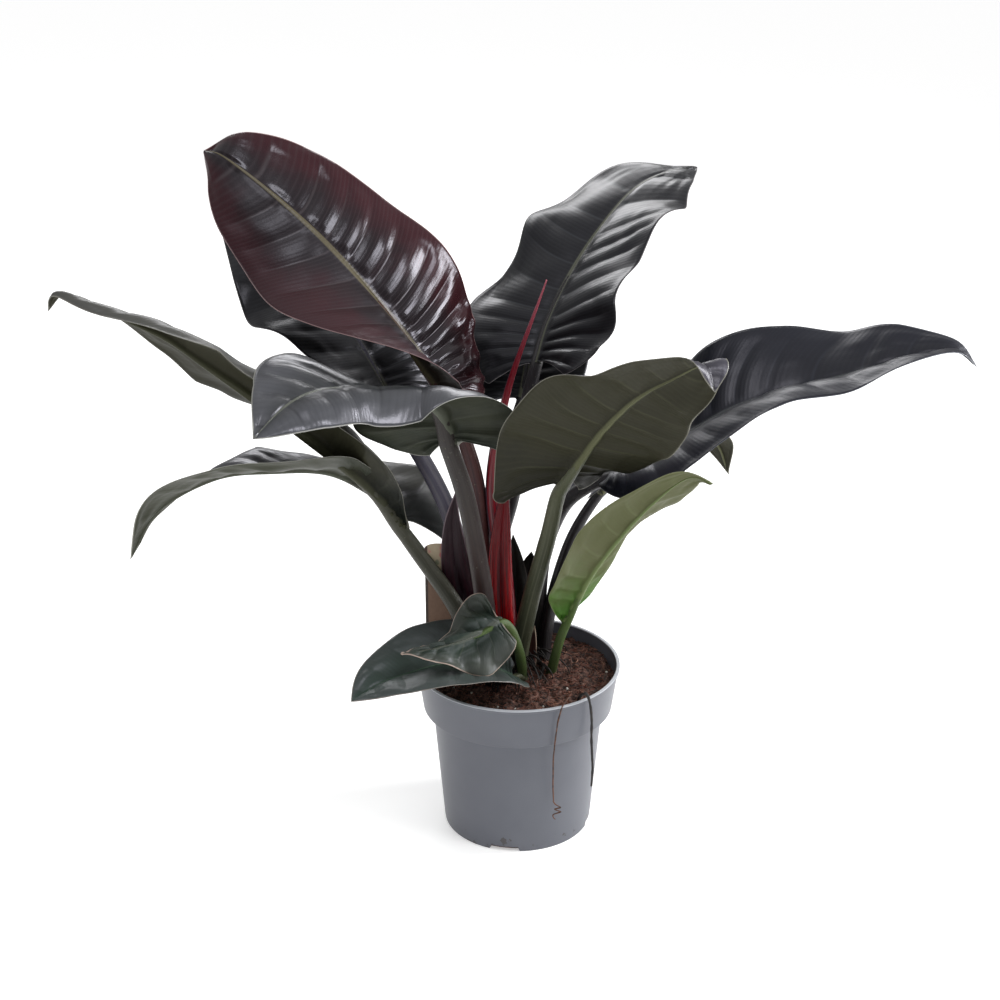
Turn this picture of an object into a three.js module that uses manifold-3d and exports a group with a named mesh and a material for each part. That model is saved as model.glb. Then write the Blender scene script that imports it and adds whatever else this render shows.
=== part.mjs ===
// A potted imperial red philodendron: broad glossy leaves on long stalks that rise from one
// short crown, in a round nursery pot filled with coir. Millimetres, +Z up, +Y away from the
// side that is seen first. The origin is the centre of the pot's flat underside.
import * as THREE from 'three';
import { mergeVertices } from 'three/addons/utils/BufferGeometryUtils.js';
import Module from 'manifold-3d';

const wasm = await Module();
wasm.setup();

const UP = new THREE.Vector3(0, 0, 1);
const WELD = 1e-4;
const CLEARANCE = 0.35;

// Pot
const POT_SIDES = 32;
const POT_HEIGHT = 205;
const POT_WALL = 2.2;
const RIM_RADIUS = 120;
const RIM_LIP = 1.8;
const RIM_BEAD = 4;
const BASE_RADIUS = 87.5;
const BASE_EDGE = 2;
const WALL_TOP_RADIUS = 100.5;
const COLLAR_FOOT_RADIUS = 111.5;
const COLLAR_FOOT_Z = 153;
const NOTCH_COUNT = 4;
const NOTCH_WIDTH = 35;
const NOTCH_HEIGHT = 6;
const NOTCH_DEPTH = 14;
const FIRST_NOTCH_DEGREES = -10.3;

// Soil and crown
const SOIL_RINGS = 4;
const SOIL_TOP = 188;
const SOIL_EDGE_GAP = 0.5;
const SOIL_MOUND = { height: 5, spread: 50 };
const SOIL_ROUGHNESS = 1.2;
const CROWN = { x: -12, y: 42, radius: 30, bottom: 120, top: 197, shoulder: 12 };
const CROWN_SIDES = 16;

// Blades: rows of facets from base to tip, and columns at shares of the way to the margin.
// Veins leave the midrib close together at its base and sweep forward to the margin.
const BLADE_THICKNESS = 1.3;
const BLADE_ROWS = 13;
const COLUMN_SHARES = [0, 0.09, 0.4, 0.7, 1];
const WIDEST_AT = 0.32;
const VEIN_SWEEP = 1.7;
const VEIN_SPACING = 1.9;

// The midrib stands out of both faces of the blade, by these shares of its radius
const RIB_RAISE = 0.2;
const RIB_DROP = 1.1;
const RIB_TAPER = 0.8;

// Stalks run on a little way under the blade, their centre this share of a radius below it
const STALK_SIDES = 7;
const STALK_STEPS = 7;
const STALK_DROP = 0.6;
const RUNOUT_STEPS = 2;
const RUNOUT_REACH = 0.2;

// Spear and roots
const SPEAR_STEPS = 12;
const ROOT_SIDES = 6;
const ROOT_STEPS = 24;
const FEEDER_SIDES = 5;
const FEEDER_STEPS = 6;

// A station of a leaf's midrib: x, y, z, then the tilt of the left and the right half from
// level, and the curl of each half across its width, all four in degrees. Left and right are
// those of someone who looks from the stalk to the tip. A positive curl turns the margin down.
const LEAVES = {
  leaf_tall_left: {
    colour: 0x3c2026,
    halfWidth: 108,
    lobe: 0.07,
    baseWidth: 0.62,
    tipFullness: [2.6, 0.95],
    wave: { height: 4, count: 3, left: 0, right: 1.5 },
    midrib: [
      [-81, 25, 532, 40, 0, 20, 40],
      [-143, 50, 611, 12, 25, 20, 30],
      [-206, 80, 678, -35, 28, 20, 30],
      [-266, 115, 726, -55, 25, 20, 20],
      [-334, 160, 767, -60, 35, 20, 10],
      [-364, 195, 768, -60, 35, 20, 10],
    ],
    stalk: [[-20, 38, 178], [-23, 43, 213], [-37, 46, 316], [-51, 40, 432]],
    stalkRadius: [11.5, 8],
  },
  leaf_tall_right: {
    colour: 0x26262a,
    halfWidth: 105,
    lobe: 0.07,
    baseWidth: 0.6,
    tipFullness: [2.6, 0.95],
    wave: { height: 9, count: 2.7, left: 6, right: 5.3 },
    midrib: [
      [20, 92, 544, -10, 35, 10, 20],
      [34, 127, 581, -12, 28, 20, 20],
      [62, 177, 625, -8, 25, 30, 20],
      [97, 232, 664, -5, 15, 40, 20],
      [141, 297, 698, -5, 0, 30, 20],
      [186, 342, 711, 0, -10, 20, 20],
      [228, 377, 710, 0, -10, 20, 20],
    ],
    stalk: [[-13, 60, 178], [-14, 63, 206], [-16, 68, 306], [-13, 78, 392], [2, 86, 476]],
    stalkRadius: [10, 7],
  },
  leaf_behind_left: {
    colour: 0x28282c,
    halfWidth: 95,
    lobe: 0.08,
    baseWidth: 0.5,
    tipFullness: [2.1, 1.1],
    wave: { height: 8, count: 3, left: 1, right: 0 },
    midrib: [
      [-152, 100, 503, 25, 10, 20, 20],
      [-196, 135, 570, 0, 5, 20, 20],
      [-249, 180, 613, -25, 10, 20, 20],
      [-305, 235, 645, -30, 10, 20, 20],
      [-368, 295, 672, -30, 10, 20, 20],
    ],
    stalk: [[-40, 58, 178], [-48, 65, 203], [-81, 77, 359], [-134, 91, 465]],
    stalkRadius: [12, 8],
  },
  leaf_far_left: {
    colour: 0x4a4640,
    halfWidth: 92,
    lobe: 0.17,
    baseWidth: 0.55,
    tipFullness: [2.1, 1.1],
    columnShares: [0, 0.09, 0.3, 0.5, 0.75, 1],
    rows: 15,
    midrib: [
      [-166, 10, 423, 50, 10, 40, 20],
      [-233, 0, 486, 35, -10, 100, 20],
      [-299, -5, 540, 30, -25, 120, 20],
      [-342, -5, 573, 38, -42, 80, 20],
      [-387, 0, 604, 25, -42, 110, 20],
      [-446, 5, 630, 10, -30, 110, 20],
      [-501, 20, 648, 0, -25, 80, 20],
      [-520, 28, 624, 10, -25, 40, 20],
    ],
    stalk: [[-44, 26, 178], [-53, 22, 223], [-77, 18, 277], [-121, 14, 348]],
    stalkRadius: [12.5, 9],
  },
  leaf_front_left: {
    colour: 0x4c4d50,
    halfWidth: 92,
    lobe: 0.12,
    baseWidth: 0.65,
    tipFullness: [2.5, 0.95],
    columnShares: [0, 0.09, 0.3, 0.5, 0.75, 1],
    rows: 15,
    midrib: [
      [-73, -50, 501, 30, -30, 10, 10],
      [-91, -63, 550, 25, -32, 50, 10],
      [-139, -80, 569, -5, -12, 90, 10],
      [-198, -120, 584, -15, 12, 90, 10],
      [-233, -175, 588, -20, 15, 60, 10],
      [-264, -230, 571, -30, 20, 40, 10],
    ],
    stalk: [[-26, 12, 178], [-33, -2, 234], [-44, -16, 331], [-59, -33, 427]],
    stalkRadius: [12, 10],
  },
  leaf_low_left: {
    colour: 0x4a4c48,
    halfWidth: 65,
    lobe: 0.08,
    baseWidth: 0.5,
    tipFullness: [2.1, 1.1],
    midrib: [
      [-157, 30, 405, 30, 0, -20, 20],
      [-214, 15, 435, 30, 0, -30, 20],
      [-277, 0, 443, 28, 5, -30, 20],
      [-340, -15, 444, 30, -10, -20, 20],
      [-395, -30, 414, 45, -40, -10, 10],
      [-436, -45, 357, 60, -60, 0, 10],
    ],
    stalk: [[-56, 48, 178], [-66, 50, 215], [-92, 52, 277], [-128, 44, 345]],
    stalkRadius: [9, 7],
  },
  leaf_front_right: {
    colour: 0x4a4838,
    halfWidth: 93,
    lobe: 0.12,
    baseWidth: 0.6,
    tipFullness: [2.4, 1.0],
    midrib: [
      [47, -50, 453, 30, 5, 20, 10],
      [68, -90, 501, 0, 20, 20, 10],
      [88, -125, 545, -35, 28, 20, 10],
      [118, -170, 594, -48, 28, 20, 20],
      [152, -215, 631, -62, 25, 20, 20],
      [175, -240, 650, -70, 25, 20, 20],
      [185, -255, 628, -70, 25, 20, 20],
    ],
    stalk: [[-2, 18, 178], [0, 10, 220], [14, -6, 299], [30, -22, 372], [41, -38, 426]],
    stalkRadius: [13, 8],
  },
  leaf_far_right: {
    colour: 0x262a36,
    halfWidth: 98,
    lobe: 0.1,
    baseWidth: 0.6,
    tipFullness: [2.4, 1.0],
    midrib: [
      [129, 0, 438, 10, 8, 10, 40],
      [179, -10, 488, 20, -3, 10, 50],
      [237, -20, 528, 38, 2, 10, 50],
      [298, -30, 553, 35, 10, 10, 50],
      [357, -40, 574, 22, 5, 10, 40],
      [412, -50, 595, 30, 12, 10, 40],
      [460, -60, 608, 15, 12, 10, 30],
      [486, -65, 591, 15, 12, 10, 30],
    ],
    stalk: [[20, 60, 178], [24, 62, 227], [36, 49, 319], [82, 19, 404]],
    stalkRadius: [10.5, 7],
  },
  leaf_low_right: {
    colour: 0x5c6640,
    halfWidth: 56,
    lobe: 0.03,
    baseWidth: 0.2,
    widestAt: 0.4,
    tipFullness: [2.3, 1.0],
    midrib: [
      [57, -10, 268, 25, 10, 20, 20],
      [80, -45, 338, 15, 5, 20, 20],
      [111, -75, 399, 5, 28, 20, 20],
      [142, -100, 448, -20, 35, 20, 20],
      [177, -120, 486, -40, 40, 20, 20],
      [203, -135, 485, -40, 40, 20, 20],
    ],
    stalk: [[36, 4, 176], [39, 0, 189], [45, -5, 220], [51, -8, 245]],
    stalkRadius: [6, 5],
  },
  leaf_behind_right: {
    colour: 0x42463a,
    halfWidth: 60,
    lobe: 0.1,
    baseWidth: 0.5,
    tipFullness: [2.3, 1.2],
    rows: 11,
    midrib: [
      [95, 90, 384, 20, 40, 20, 20],
      [146, 120, 416, 10, 40, 20, 20],
      [198, 150, 430, 0, 35, 20, 20],
      [240, 175, 418, -20, 20, 20, 20],
      [263, 190, 366, -40, 30, 20, 20],
    ],
    stalk: [[33, 34, 178], [33, 44, 211], [44, 55, 272], [65, 72, 334]],
    stalkRadius: [8.5, 6],
  },
  leaf_behind_centre: {
    colour: 0x26282a,
    halfWidth: 76,
    lobe: 0.1,
    baseWidth: 0.6,
    tipFullness: [2.1, 1.1],
    rows: 11,
    midrib: [
      [5, 120, 491, 5, 10, 20, 20],
      [12, 165, 521, 5, 10, 20, 20],
      [18, 215, 552, 5, 10, 20, 20],
      [24, 275, 572, 5, 10, 20, 20],
      [30, 330, 576, 5, 10, 20, 20],
    ],
    stalk: [[-18, 82, 178], [-19, 84, 299], [-11, 100, 395], [-2, 114, 460]],
    stalkRadius: [9, 7],
  },
  leaf_pot_edge: {
    colour: 0x35423a,
    halfWidth: 61,
    lobe: 0.03,
    baseWidth: 0.3,
    tipFullness: [2.6, 0.95],
    midrib: [
      [-7, -30, 202, 5, 30, 20, 10],
      [-44, -50, 228, 5, 32, 20, 10],
      [-87, -75, 240, 5, 32, 20, 10],
      [-121, -100, 243, 5, 30, 20, 10],
      [-156, -125, 242, 0, 25, 20, 10],
      [-184, -150, 234, 0, 20, 20, 10],
    ],
    stalk: [[14, -8, 176], [8, -15, 190], [1, -22, 198]],
    stalkRadius: [5, 4],
  },
  leaf_small_front: {
    colour: 0x4a5248,
    halfWidth: 40,
    lobe: 0.02,
    baseWidth: 0.7,
    tipFullness: [2.1, 1.1],
    rows: 11,
    midrib: [
      [-22, -72, 295, -50, 50, 0, 0],
      [-44, -87, 286, -65, 35, 0, 0],
      [-66, -102, 283, -65, 0, 0, 0],
      [-97, -117, 281, -30, -10, 0, 0],
      [-130, -127, 281, -10, -10, 0, 0],
    ],
    stalk: [[6, -8, 176], [5, -15, 193], [2, -26, 229], [-9, -47, 271]],
    stalkRadius: [6.5, 5],
  },
};

// Sheaths: the thin scales that once wrapped a young leaf, and the dry ones that are left of
// older ones. They are cupped blades that face the front and stand round the crown.
const FRONT = new THREE.Vector3(0, -1, 0);
const SHEATHS = {
  cataphyll_red: {
    colour: 0x8c1c22,
    halfWidth: 17,
    lobe: 0,
    baseWidth: 0.75,
    tipFullness: [2.2, 1.0],
    facing: FRONT,
    rows: 8,
    columnShares: [0, 0.33, 0.67, 1],
    midrib: [
      [-14, 15, 192, 0, 0, 90, 90],
      [-20, 12, 260, -10, -10, 90, 90],
      [-21, 10, 330, -10, -10, 90, 90],
      [-18, 9, 390, -10, -10, 80, 80],
      [-12, 11, 440, 0, 0, 60, 60],
    ],
  },
  cataphyll_purple: {
    colour: 0x4a2830,
    halfWidth: 20,
    lobe: 0,
    baseWidth: 0.7,
    tipFullness: [2.2, 1.0],
    facing: FRONT,
    rows: 8,
    columnShares: [0, 0.33, 0.67, 1],
    midrib: [
      [-44, 40, 190, 0, 0, 60, 60],
      [-60, 36, 250, 0, 0, 60, 60],
      [-72, 34, 310, 0, 0, 60, 60],
      [-76, 32, 365, 0, 0, 50, 50],
      [-72, 30, 410, 0, 0, 40, 40],
    ],
  },
  dark_sheath_left: {
    colour: 0x1c1a19,
    halfWidth: 11,
    lobe: 0,
    baseWidth: 0.9,
    tipFullness: [1.6, 1.0],
    facing: FRONT,
    rows: 7,
    columnShares: [0, 0.33, 0.67, 1],
    midrib: [
      [0, 34, 192, 0, 0, 70, 70],
      [-2, 36, 240, 0, 0, 70, 70],
      [-4, 38, 285, 0, 0, 60, 60],
      [-8, 40, 328, 0, 0, 50, 50],
    ],
  },
  dark_sheath_right: {
    colour: 0x1c1a19,
    halfWidth: 11,
    lobe: 0,
    baseWidth: 0.9,
    tipFullness: [1.6, 1.0],
    facing: FRONT,
    rows: 7,
    columnShares: [0, 0.33, 0.67, 1],
    midrib: [
      [6, 48, 190, 0, 0, 60, 60],
      [8, 48, 235, 0, 0, 60, 60],
      [10, 48, 275, 0, 0, 50, 50],
      [12, 48, 312, 0, 0, 40, 40],
    ],
  },
  dry_sliver: {
    colour: 0x5c3a30,
    halfWidth: 6,
    lobe: 0,
    baseWidth: 0.8,
    tipFullness: [2, 1.0],
    facing: FRONT,
    rows: 5,
    columnShares: [0, 0.5, 1],
    midrib: [
      [16, 20, 184, 0, 0, 40, 40],
      [17, 18, 215, 0, 0, 40, 40],
      [20, 18, 244, 0, 0, 40, 40],
    ],
  },
};

// A thin printed care label that stands in the soil by the rim
const LABEL = {
  colour: 0x9a8068,
  width: 30,
  thickness: 0.8,
  foot: [-94, 34, 165],
  shoulderZ: 192,
  topZ: 306,
  stakeWidth: 14,
  pointHeight: 14,
  stakeShoulder: 8,
  topDrop: 6,
};

// The rolled new leaf in the middle of the crown
const SPEAR = {
  colour: 0x7c2034,
  points: [[-8, 40, 180], [-14, 38, 290], [-30, 38, 411], [-13, 36, 526], [30, 26, 661]],
  radii: [9, 1],
};

// Aerial roots that have grown over the rim and hang down outside the pot
const AERIAL_ROOTS = {
  aerial_root_thin: {
    colour: 0x5a3a2c,
    radii: [0.9, 0.9],
    points: [
      [60, -92, 180], [58, -99, 206], [56, -106, 215], [50, -113, 209], [45, -114, 190], [42, -109, 160],
      [40, -105, 128], [40, -103, 84], [44, -102, 55], [48, -101, 46],
    ],
  },
  aerial_root_thick: {
    colour: 0x2a211d,
    radii: [2, 1.4],
    points: [
      [64, -84, 180], [69, -89, 206], [75, -97, 215], [80, -96, 205], [83, -90, 180], [84, -86, 150],
      [86, -84, 115], [85, -82, 86],
    ],
  },
};

// Short feeder roots that leave the crown and go down into the soil
const FEEDER_RADII = [2.2, 1.2];
const FEEDER_ROOTS = [
  [[-24, 26, 188], [-30, 2, 197], [-34, -12, 192], [-36, -20, 180]],
  [[-14, 22, 188], [-18, -2, 198], [-20, -20, 193], [-24, -30, 181]],
  [[16, 30, 186], [30, 14, 194], [28, -6, 192], [24, -18, 180]],
];

// Catmull-Rom through rows of numbers, with mirrored ends; t runs from 0 to 1.
function smooth(rows, t) {
  const last = rows.length - 1;
  const place = Math.min(Math.max(t, 0), 1) * last;
  const i = Math.min(Math.floor(place), last - 1);
  const w = place - i;
  const b = rows[i];
  const c = rows[i + 1];
  const a = rows[i - 1] ?? b.map((value, k) => 2 * value - c[k]);
  const d = rows[i + 2] ?? c.map((value, k) => 2 * value - b[k]);
  return b.map((value, k) => {
    const startSlope = (c[k] - a[k]) / 2;
    const endSlope = (d[k] - value) / 2;
    const cubic = 2 * value - 2 * c[k] + startSlope + endSlope;
    const square = -3 * value + 3 * c[k] - 2 * startSlope - endSlope;
    return ((cubic * w + square) * w + startSlope) * w + value;
  });
}

function pointOn(rows, t) {
  const [x, y, z] = smooth(rows, t);
  return new THREE.Vector3(x, y, z);
}

// The distance along the midrib at even steps of t, for turning a distance back into t.
function arcTable(rows, steps = 200) {
  const distance = [0];
  let previous = pointOn(rows, 0);
  for (let i = 1; i <= steps; i += 1) {
    const next = pointOn(rows, i / steps);
    distance.push(distance[i - 1] + next.distanceTo(previous));
    previous = next;
  }
  return { distance, length: distance[steps], steps };
}

function parameterAt(arc, along) {
  const wanted = Math.min(Math.max(along, 0), arc.length);
  let i = 1;
  while (i < arc.steps && arc.distance[i] < wanted) i += 1;
  const low = arc.distance[i - 1];
  return (i - 1 + (wanted - low) / (arc.distance[i] - low)) / arc.steps;
}

// Half-width of a blade, as a share of its greatest, and where along the blade it lies.
function outlineAt(leaf, tau) {
  const widest = leaf.widestAt ?? WIDEST_AT;
  const quarter = (Math.PI / 2) * widest;
  const turn = quarter / (quarter + 1 - widest);
  if (tau < turn) {
    const angle = ((Math.PI / 2) * tau) / turn;
    return {
      along: widest * (1 - Math.cos(angle)),
      width: leaf.baseWidth + (1 - leaf.baseWidth) * Math.sin(angle),
    };
  }
  const toTip = (tau - turn) / (1 - turn);
  const [power, fullness] = leaf.tipFullness;
  return { along: widest + (1 - widest) * toTip, width: (1 - toTip ** power) ** fullness };
}

// The point, direction and two halves of the blade at a place on the midrib. A half has its
// direction away from the midrib, its upper normal and its curl.
function midribFrame(leaf, t) {
  const row = smooth(leaf.midrib, t);
  const nudge = 1e-3;
  const along = pointOn(leaf.midrib, t + nudge).sub(pointOn(leaf.midrib, t - nudge)).normalize();
  const left = new THREE.Vector3().crossVectors(leaf.facing ?? UP, along).normalize();
  const rise = new THREE.Vector3().crossVectors(along, left);
  const halves = [1, -1].map((sign, side) => {
    const tilt = THREE.MathUtils.degToRad(row[3 + side]);
    const out = left.clone().multiplyScalar(sign * Math.cos(tilt)).addScaledVector(rise, Math.sin(tilt));
    const normal = new THREE.Vector3().crossVectors(along, out).multiplyScalar(sign).normalize();
    return { out, normal, curl: THREE.MathUtils.degToRad(row[5 + side]) || 1e-3 };
  });
  return { point: new THREE.Vector3(row[0], row[1], row[2]), along, halves };
}

// Half-width of the blade straight across the midrib, at a distance along it.
function localWidth(leaf, arc, distance) {
  const lobe = leaf.lobe * arc.length;
  const wanted = (distance + lobe) / (arc.length + lobe);
  let low = 0;
  let high = 1;
  for (let i = 0; i < 30; i += 1) {
    const middle = (low + high) / 2;
    if (outlineAt(leaf, middle).along < wanted) low = middle;
    else high = middle;
  }
  return leaf.halfWidth * outlineAt(leaf, low).width;
}

function waveAt(leaf, along, across, side) {
  if (!leaf.wave) return 0;
  const phase = [leaf.wave.left, leaf.wave.right][side];
  const fadeIn = Math.min(Math.max(along * 4 + 0.4, 0), 1);
  const fadeOut = Math.min(Math.max((1 - along) * 3, 0), 1);
  const height = leaf.wave.height * fadeIn * fadeOut * across ** 2;
  return height * Math.sin(2 * Math.PI * leaf.wave.count * along + phase);
}

// A point of the blade's middle surface. tau runs from base to tip and v from midrib to margin,
// along veins that leave the midrib and sweep towards the tip. grow widens the blade all round.
function bladePoint(leaf, arc, tau, v, side, grow) {
  const { along, width } = outlineAt(leaf, tau);
  const lobe = leaf.lobe * arc.length;
  const ribEnd = (arc.length + 2 * grow) * tau ** VEIN_SPACING - grow;
  const marginEnd = (arc.length + lobe + 2 * grow) * along - lobe - grow;
  const distance = ribEnd + (marginEnd - ribEnd) * v ** VEIN_SWEEP;
  const outward = (leaf.halfWidth * width + grow) * v;
  const local = Math.max(localWidth(leaf, arc, distance) + grow, outward, 1e-6);
  const across = outward / local;
  const frame = midribFrame(leaf, parameterAt(arc, distance));
  const { out, normal, curl } = frame.halves[side];
  const reach = (local / curl) * (Math.sin(curl / 2) - Math.sin(curl * (0.5 - across)));
  const lift = (local / curl) * (Math.cos(curl * (0.5 - across)) - Math.cos(curl / 2));
  const beyond = Math.min(distance, 0) + Math.max(distance - arc.length, 0);
  const point = frame.point.clone().addScaledVector(frame.along, beyond);
  point.addScaledVector(out, reach);
  return point.addScaledVector(normal, lift + waveAt(leaf, distance / arc.length, across, side));
}

function toSolid(positions, triangles) {
  const geometry = new THREE.BufferGeometry();
  geometry.setAttribute('position', new THREE.Float32BufferAttribute(positions, 3));
  geometry.setIndex(triangles);
  return solidOf(geometry);
}

function solidOf(source) {
  const geometry = source.clone();
  geometry.deleteAttribute('normal');
  geometry.deleteAttribute('uv');
  const welded = mergeVertices(geometry, WELD);
  const { array } = welded.index;
  const kept = [];
  for (let i = 0; i < array.length; i += 3) {
    const [a, b, c] = [array[i], array[i + 1], array[i + 2]];
    if (a !== b && b !== c && c !== a) kept.push(a, b, c);
  }
  const mesh = new wasm.Mesh({
    numProp: 3,
    vertProperties: new Float32Array(welded.attributes.position.array),
    triVerts: new Uint32Array(kept),
  });
  return new wasm.Manifold(mesh);
}

// The largest of a solid's bodies, which leaves out the scraps that a cut makes.
function largestBody(solid) {
  const bodies = solid.decompose();
  return bodies.reduce((best, body) => (body.volume() > best.volume() ? body : best));
}

function unionOf(solids) {
  return solids.reduce((whole, solid) => whole.add(solid));
}

// The midrib's radius under a blade, which thins from the stalk to the tip.
function ribRadius(leaf, tau) {
  if (!leaf.stalkRadius) return 0;
  const share = tau ** VEIN_SPACING;
  return leaf.stalkRadius[1] * (1 - share) ** RIB_TAPER;
}

// A blade of even thickness on both sides of its middle surface, split alike on both faces.
function bladeSolid(leaf, grow = 0) {
  const arc = arcTable(leaf.midrib);
  const rows = leaf.rows ?? BLADE_ROWS;
  const shares = leaf.columnShares ?? COLUMN_SHARES;
  const half = shares.length - 1;
  const columns = 2 * half + 1;
  const middle = [];
  for (let i = 0; i < rows; i += 1) {
    for (let j = -half; j <= half; j += 1) {
      middle.push(bladePoint(leaf, arc, i / rows, shares[Math.abs(j)], j < 0 ? 0 : 1, grow));
    }
  }
  const tip = bladePoint(leaf, arc, 1, 0, 0, grow);
  const at = (i, j) => (i === rows ? tip : middle[i * columns + j]);
  const thickness = leaf.thickness ?? BLADE_THICKNESS;
  const positions = { top: [], bottom: [] };
  for (let i = 0; i <= rows; i += 1) {
    const row = Math.min(i, rows - 1);
    for (let j = 0; j < (i === rows ? 1 : columns); j += 1) {
      const column = i === rows ? half : j;
      const alongStep = at(row + 1, column).clone().sub(at(Math.max(row - 1, 0), column));
      const acrossStep = at(row, Math.min(column + 1, columns - 1)).clone();
      acrossStep.sub(at(row, Math.max(column - 1, 0)));
      const normal = acrossStep.cross(alongStep).normalize();
      const rib = column === half ? ribRadius(leaf, i / rows) : 0;
      const point = at(i, j);
      const raise = thickness / 2 + grow + RIB_RAISE * rib;
      const drop = thickness / 2 + grow + RIB_DROP * rib;
      positions.top.push(...point.clone().addScaledVector(normal, raise).toArray());
      positions.bottom.push(...point.clone().addScaledVector(normal, -drop).toArray());
    }
  }
  const tipIndex = rows * columns;
  const under = tipIndex + 1;
  const index = (i, j) => (i === rows ? tipIndex : i * columns + j);
  const triangles = [];
  const wall = (a, b) => triangles.push(b, a, a + under, b, a + under, b + under);
  for (let i = 0; i < rows; i += 1) {
    for (let j = 0; j < columns - 1; j += 1) {
      const [a, b, c, d] = [index(i, j), index(i, j + 1), index(i + 1, j + 1), index(i + 1, j)];
      triangles.push(a, b, c, a, c, d);
      triangles.push(a + under, c + under, b + under, a + under, d + under, c + under);
    }
    wall(index(i + 1, 0), index(i, 0));
    wall(index(i, columns - 1), index(i + 1, columns - 1));
  }
  for (let j = 0; j < columns - 1; j += 1) wall(index(0, j), index(0, j + 1));
  return toSolid([...positions.top, ...positions.bottom], triangles);
}

// A closed round stalk through the given centres, with a radius at each.
function stalkSolid(centres, radii, sides = STALK_SIDES) {
  const positions = [];
  const triangles = [];
  let across = new THREE.Vector3(1, 0, 0);
  const last = centres.length - 1;
  centres.forEach((centre, i) => {
    const along = centres[Math.min(i + 1, last)].clone().sub(centres[Math.max(i - 1, 0)]).normalize();
    across = across.clone().addScaledVector(along, -across.dot(along)).normalize();
    const other = new THREE.Vector3().crossVectors(along, across);
    for (let k = 0; k < sides; k += 1) {
      const angle = (2 * Math.PI * k) / sides;
      const point = centre.clone().addScaledVector(across, radii[i] * Math.cos(angle));
      point.addScaledVector(other, radii[i] * Math.sin(angle));
      positions.push(...point.toArray());
    }
  });
  positions.push(...centres[0].toArray(), ...centres[last].toArray());
  const bottomCap = centres.length * sides;
  for (let k = 0; k < sides; k += 1) {
    const next = (k + 1) % sides;
    for (let i = 0; i < last; i += 1) {
      const [a, b] = [i * sides + k, i * sides + next];
      triangles.push(a, b, b + sides, a, b + sides, a + sides);
    }
    triangles.push(bottomCap, next, k, bottomCap + 1, last * sides + k, last * sides + next);
  }
  return toSolid(positions, triangles);
}

// A stalk along a smooth curve through hand-placed points, tapering from base to end.
function curvedStalk(points, [baseRadius, endRadius], steps, { grow = 0, sides } = {}) {
  const centres = [];
  const radii = [];
  for (let i = 0; i <= steps; i += 1) {
    centres.push(pointOn(points, i / steps));
    radii.push(baseRadius + (endRadius - baseRadius) * (i / steps) + grow);
  }
  return stalkSolid(centres, radii, sides);
}

// The leaf's stalk, which runs on under the blade as its midrib and thins out near the tip.
function leafStalk(leaf, grow = 0) {
  const arc = arcTable(leaf.midrib);
  const [footRadius, joinRadius] = leaf.stalkRadius;
  const ribCentre = (share) => {
    const radius = joinRadius * (1 - 2 * share);
    const frame = midribFrame(leaf, parameterAt(arc, share * arc.length));
    const normal = frame.halves[0].normal.clone().add(frame.halves[1].normal).normalize();
    return { radius, centre: frame.point.addScaledVector(normal, -STALK_DROP * radius) };
  };
  const join = ribCentre(0);
  const leadOut = ribCentre(0.15).centre;
  const path = [...leaf.stalk, join.centre.toArray(), leadOut.toArray()];
  const joinAt = leaf.stalk.length / (path.length - 1);
  const centres = [];
  const radii = [];
  for (let i = 0; i <= STALK_STEPS; i += 1) {
    const share = i / STALK_STEPS;
    centres.push(pointOn(path, share * joinAt));
    radii.push(footRadius + (joinRadius - footRadius) * share + grow);
  }
  for (let i = 1; i <= RUNOUT_STEPS; i += 1) {
    const { centre, radius } = ribCentre((RUNOUT_REACH * i) / RUNOUT_STEPS);
    centres.push(centre);
    radii.push(radius + grow);
  }
  return stalkSolid(centres, radii);
}

function lathe(profile, sides) {
  const points = profile.map(([radius, height]) => new THREE.Vector2(radius, height));
  const geometry = new THREE.LatheGeometry(points, sides);
  geometry.rotateX(Math.PI / 2);
  return solidOf(geometry);
}

function box(width, depth, height, [x, y, z], turn = 0) {
  const geometry = new THREE.BoxGeometry(width, depth, height);
  geometry.translate(x, y, z).rotateZ(turn);
  return solidOf(geometry);
}

// The pot: a tapering wall, a wider collar with a small lip, and drain notches round its foot.
function potSolid() {
  const inner = (radius) => radius - POT_WALL;
  const collarTop = RIM_RADIUS - RIM_LIP;
  let pot = lathe([
    [0, 0],
    [BASE_RADIUS - BASE_EDGE, 0],
    [BASE_RADIUS, BASE_EDGE],
    [WALL_TOP_RADIUS, COLLAR_FOOT_Z - 1],
    [COLLAR_FOOT_RADIUS, COLLAR_FOOT_Z],
    [collarTop, POT_HEIGHT - RIM_BEAD],
    [RIM_RADIUS, POT_HEIGHT - RIM_BEAD + 1],
    [RIM_RADIUS, POT_HEIGHT],
    [RIM_RADIUS - RIM_LIP - POT_WALL, POT_HEIGHT],
    [inner(collarTop), POT_HEIGHT - RIM_BEAD],
    [inner(COLLAR_FOOT_RADIUS), COLLAR_FOOT_Z + POT_WALL],
    [inner(WALL_TOP_RADIUS), COLLAR_FOOT_Z + POT_WALL - 1],
    [inner(BASE_RADIUS), POT_WALL + BASE_EDGE],
    [inner(BASE_RADIUS) - BASE_EDGE, POT_WALL],
    [0, POT_WALL],
  ], POT_SIDES);
  for (let i = 0; i < NOTCH_COUNT; i += 1) {
    const turn = (2 * Math.PI * i) / NOTCH_COUNT + THREE.MathUtils.degToRad(FIRST_NOTCH_DEGREES);
    const centre = [0, -BASE_RADIUS, 0];
    pot = pot.subtract(box(NOTCH_WIDTH, 2 * NOTCH_DEPTH, 2 * NOTCH_HEIGHT, centre, turn));
  }
  return pot;
}

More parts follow.
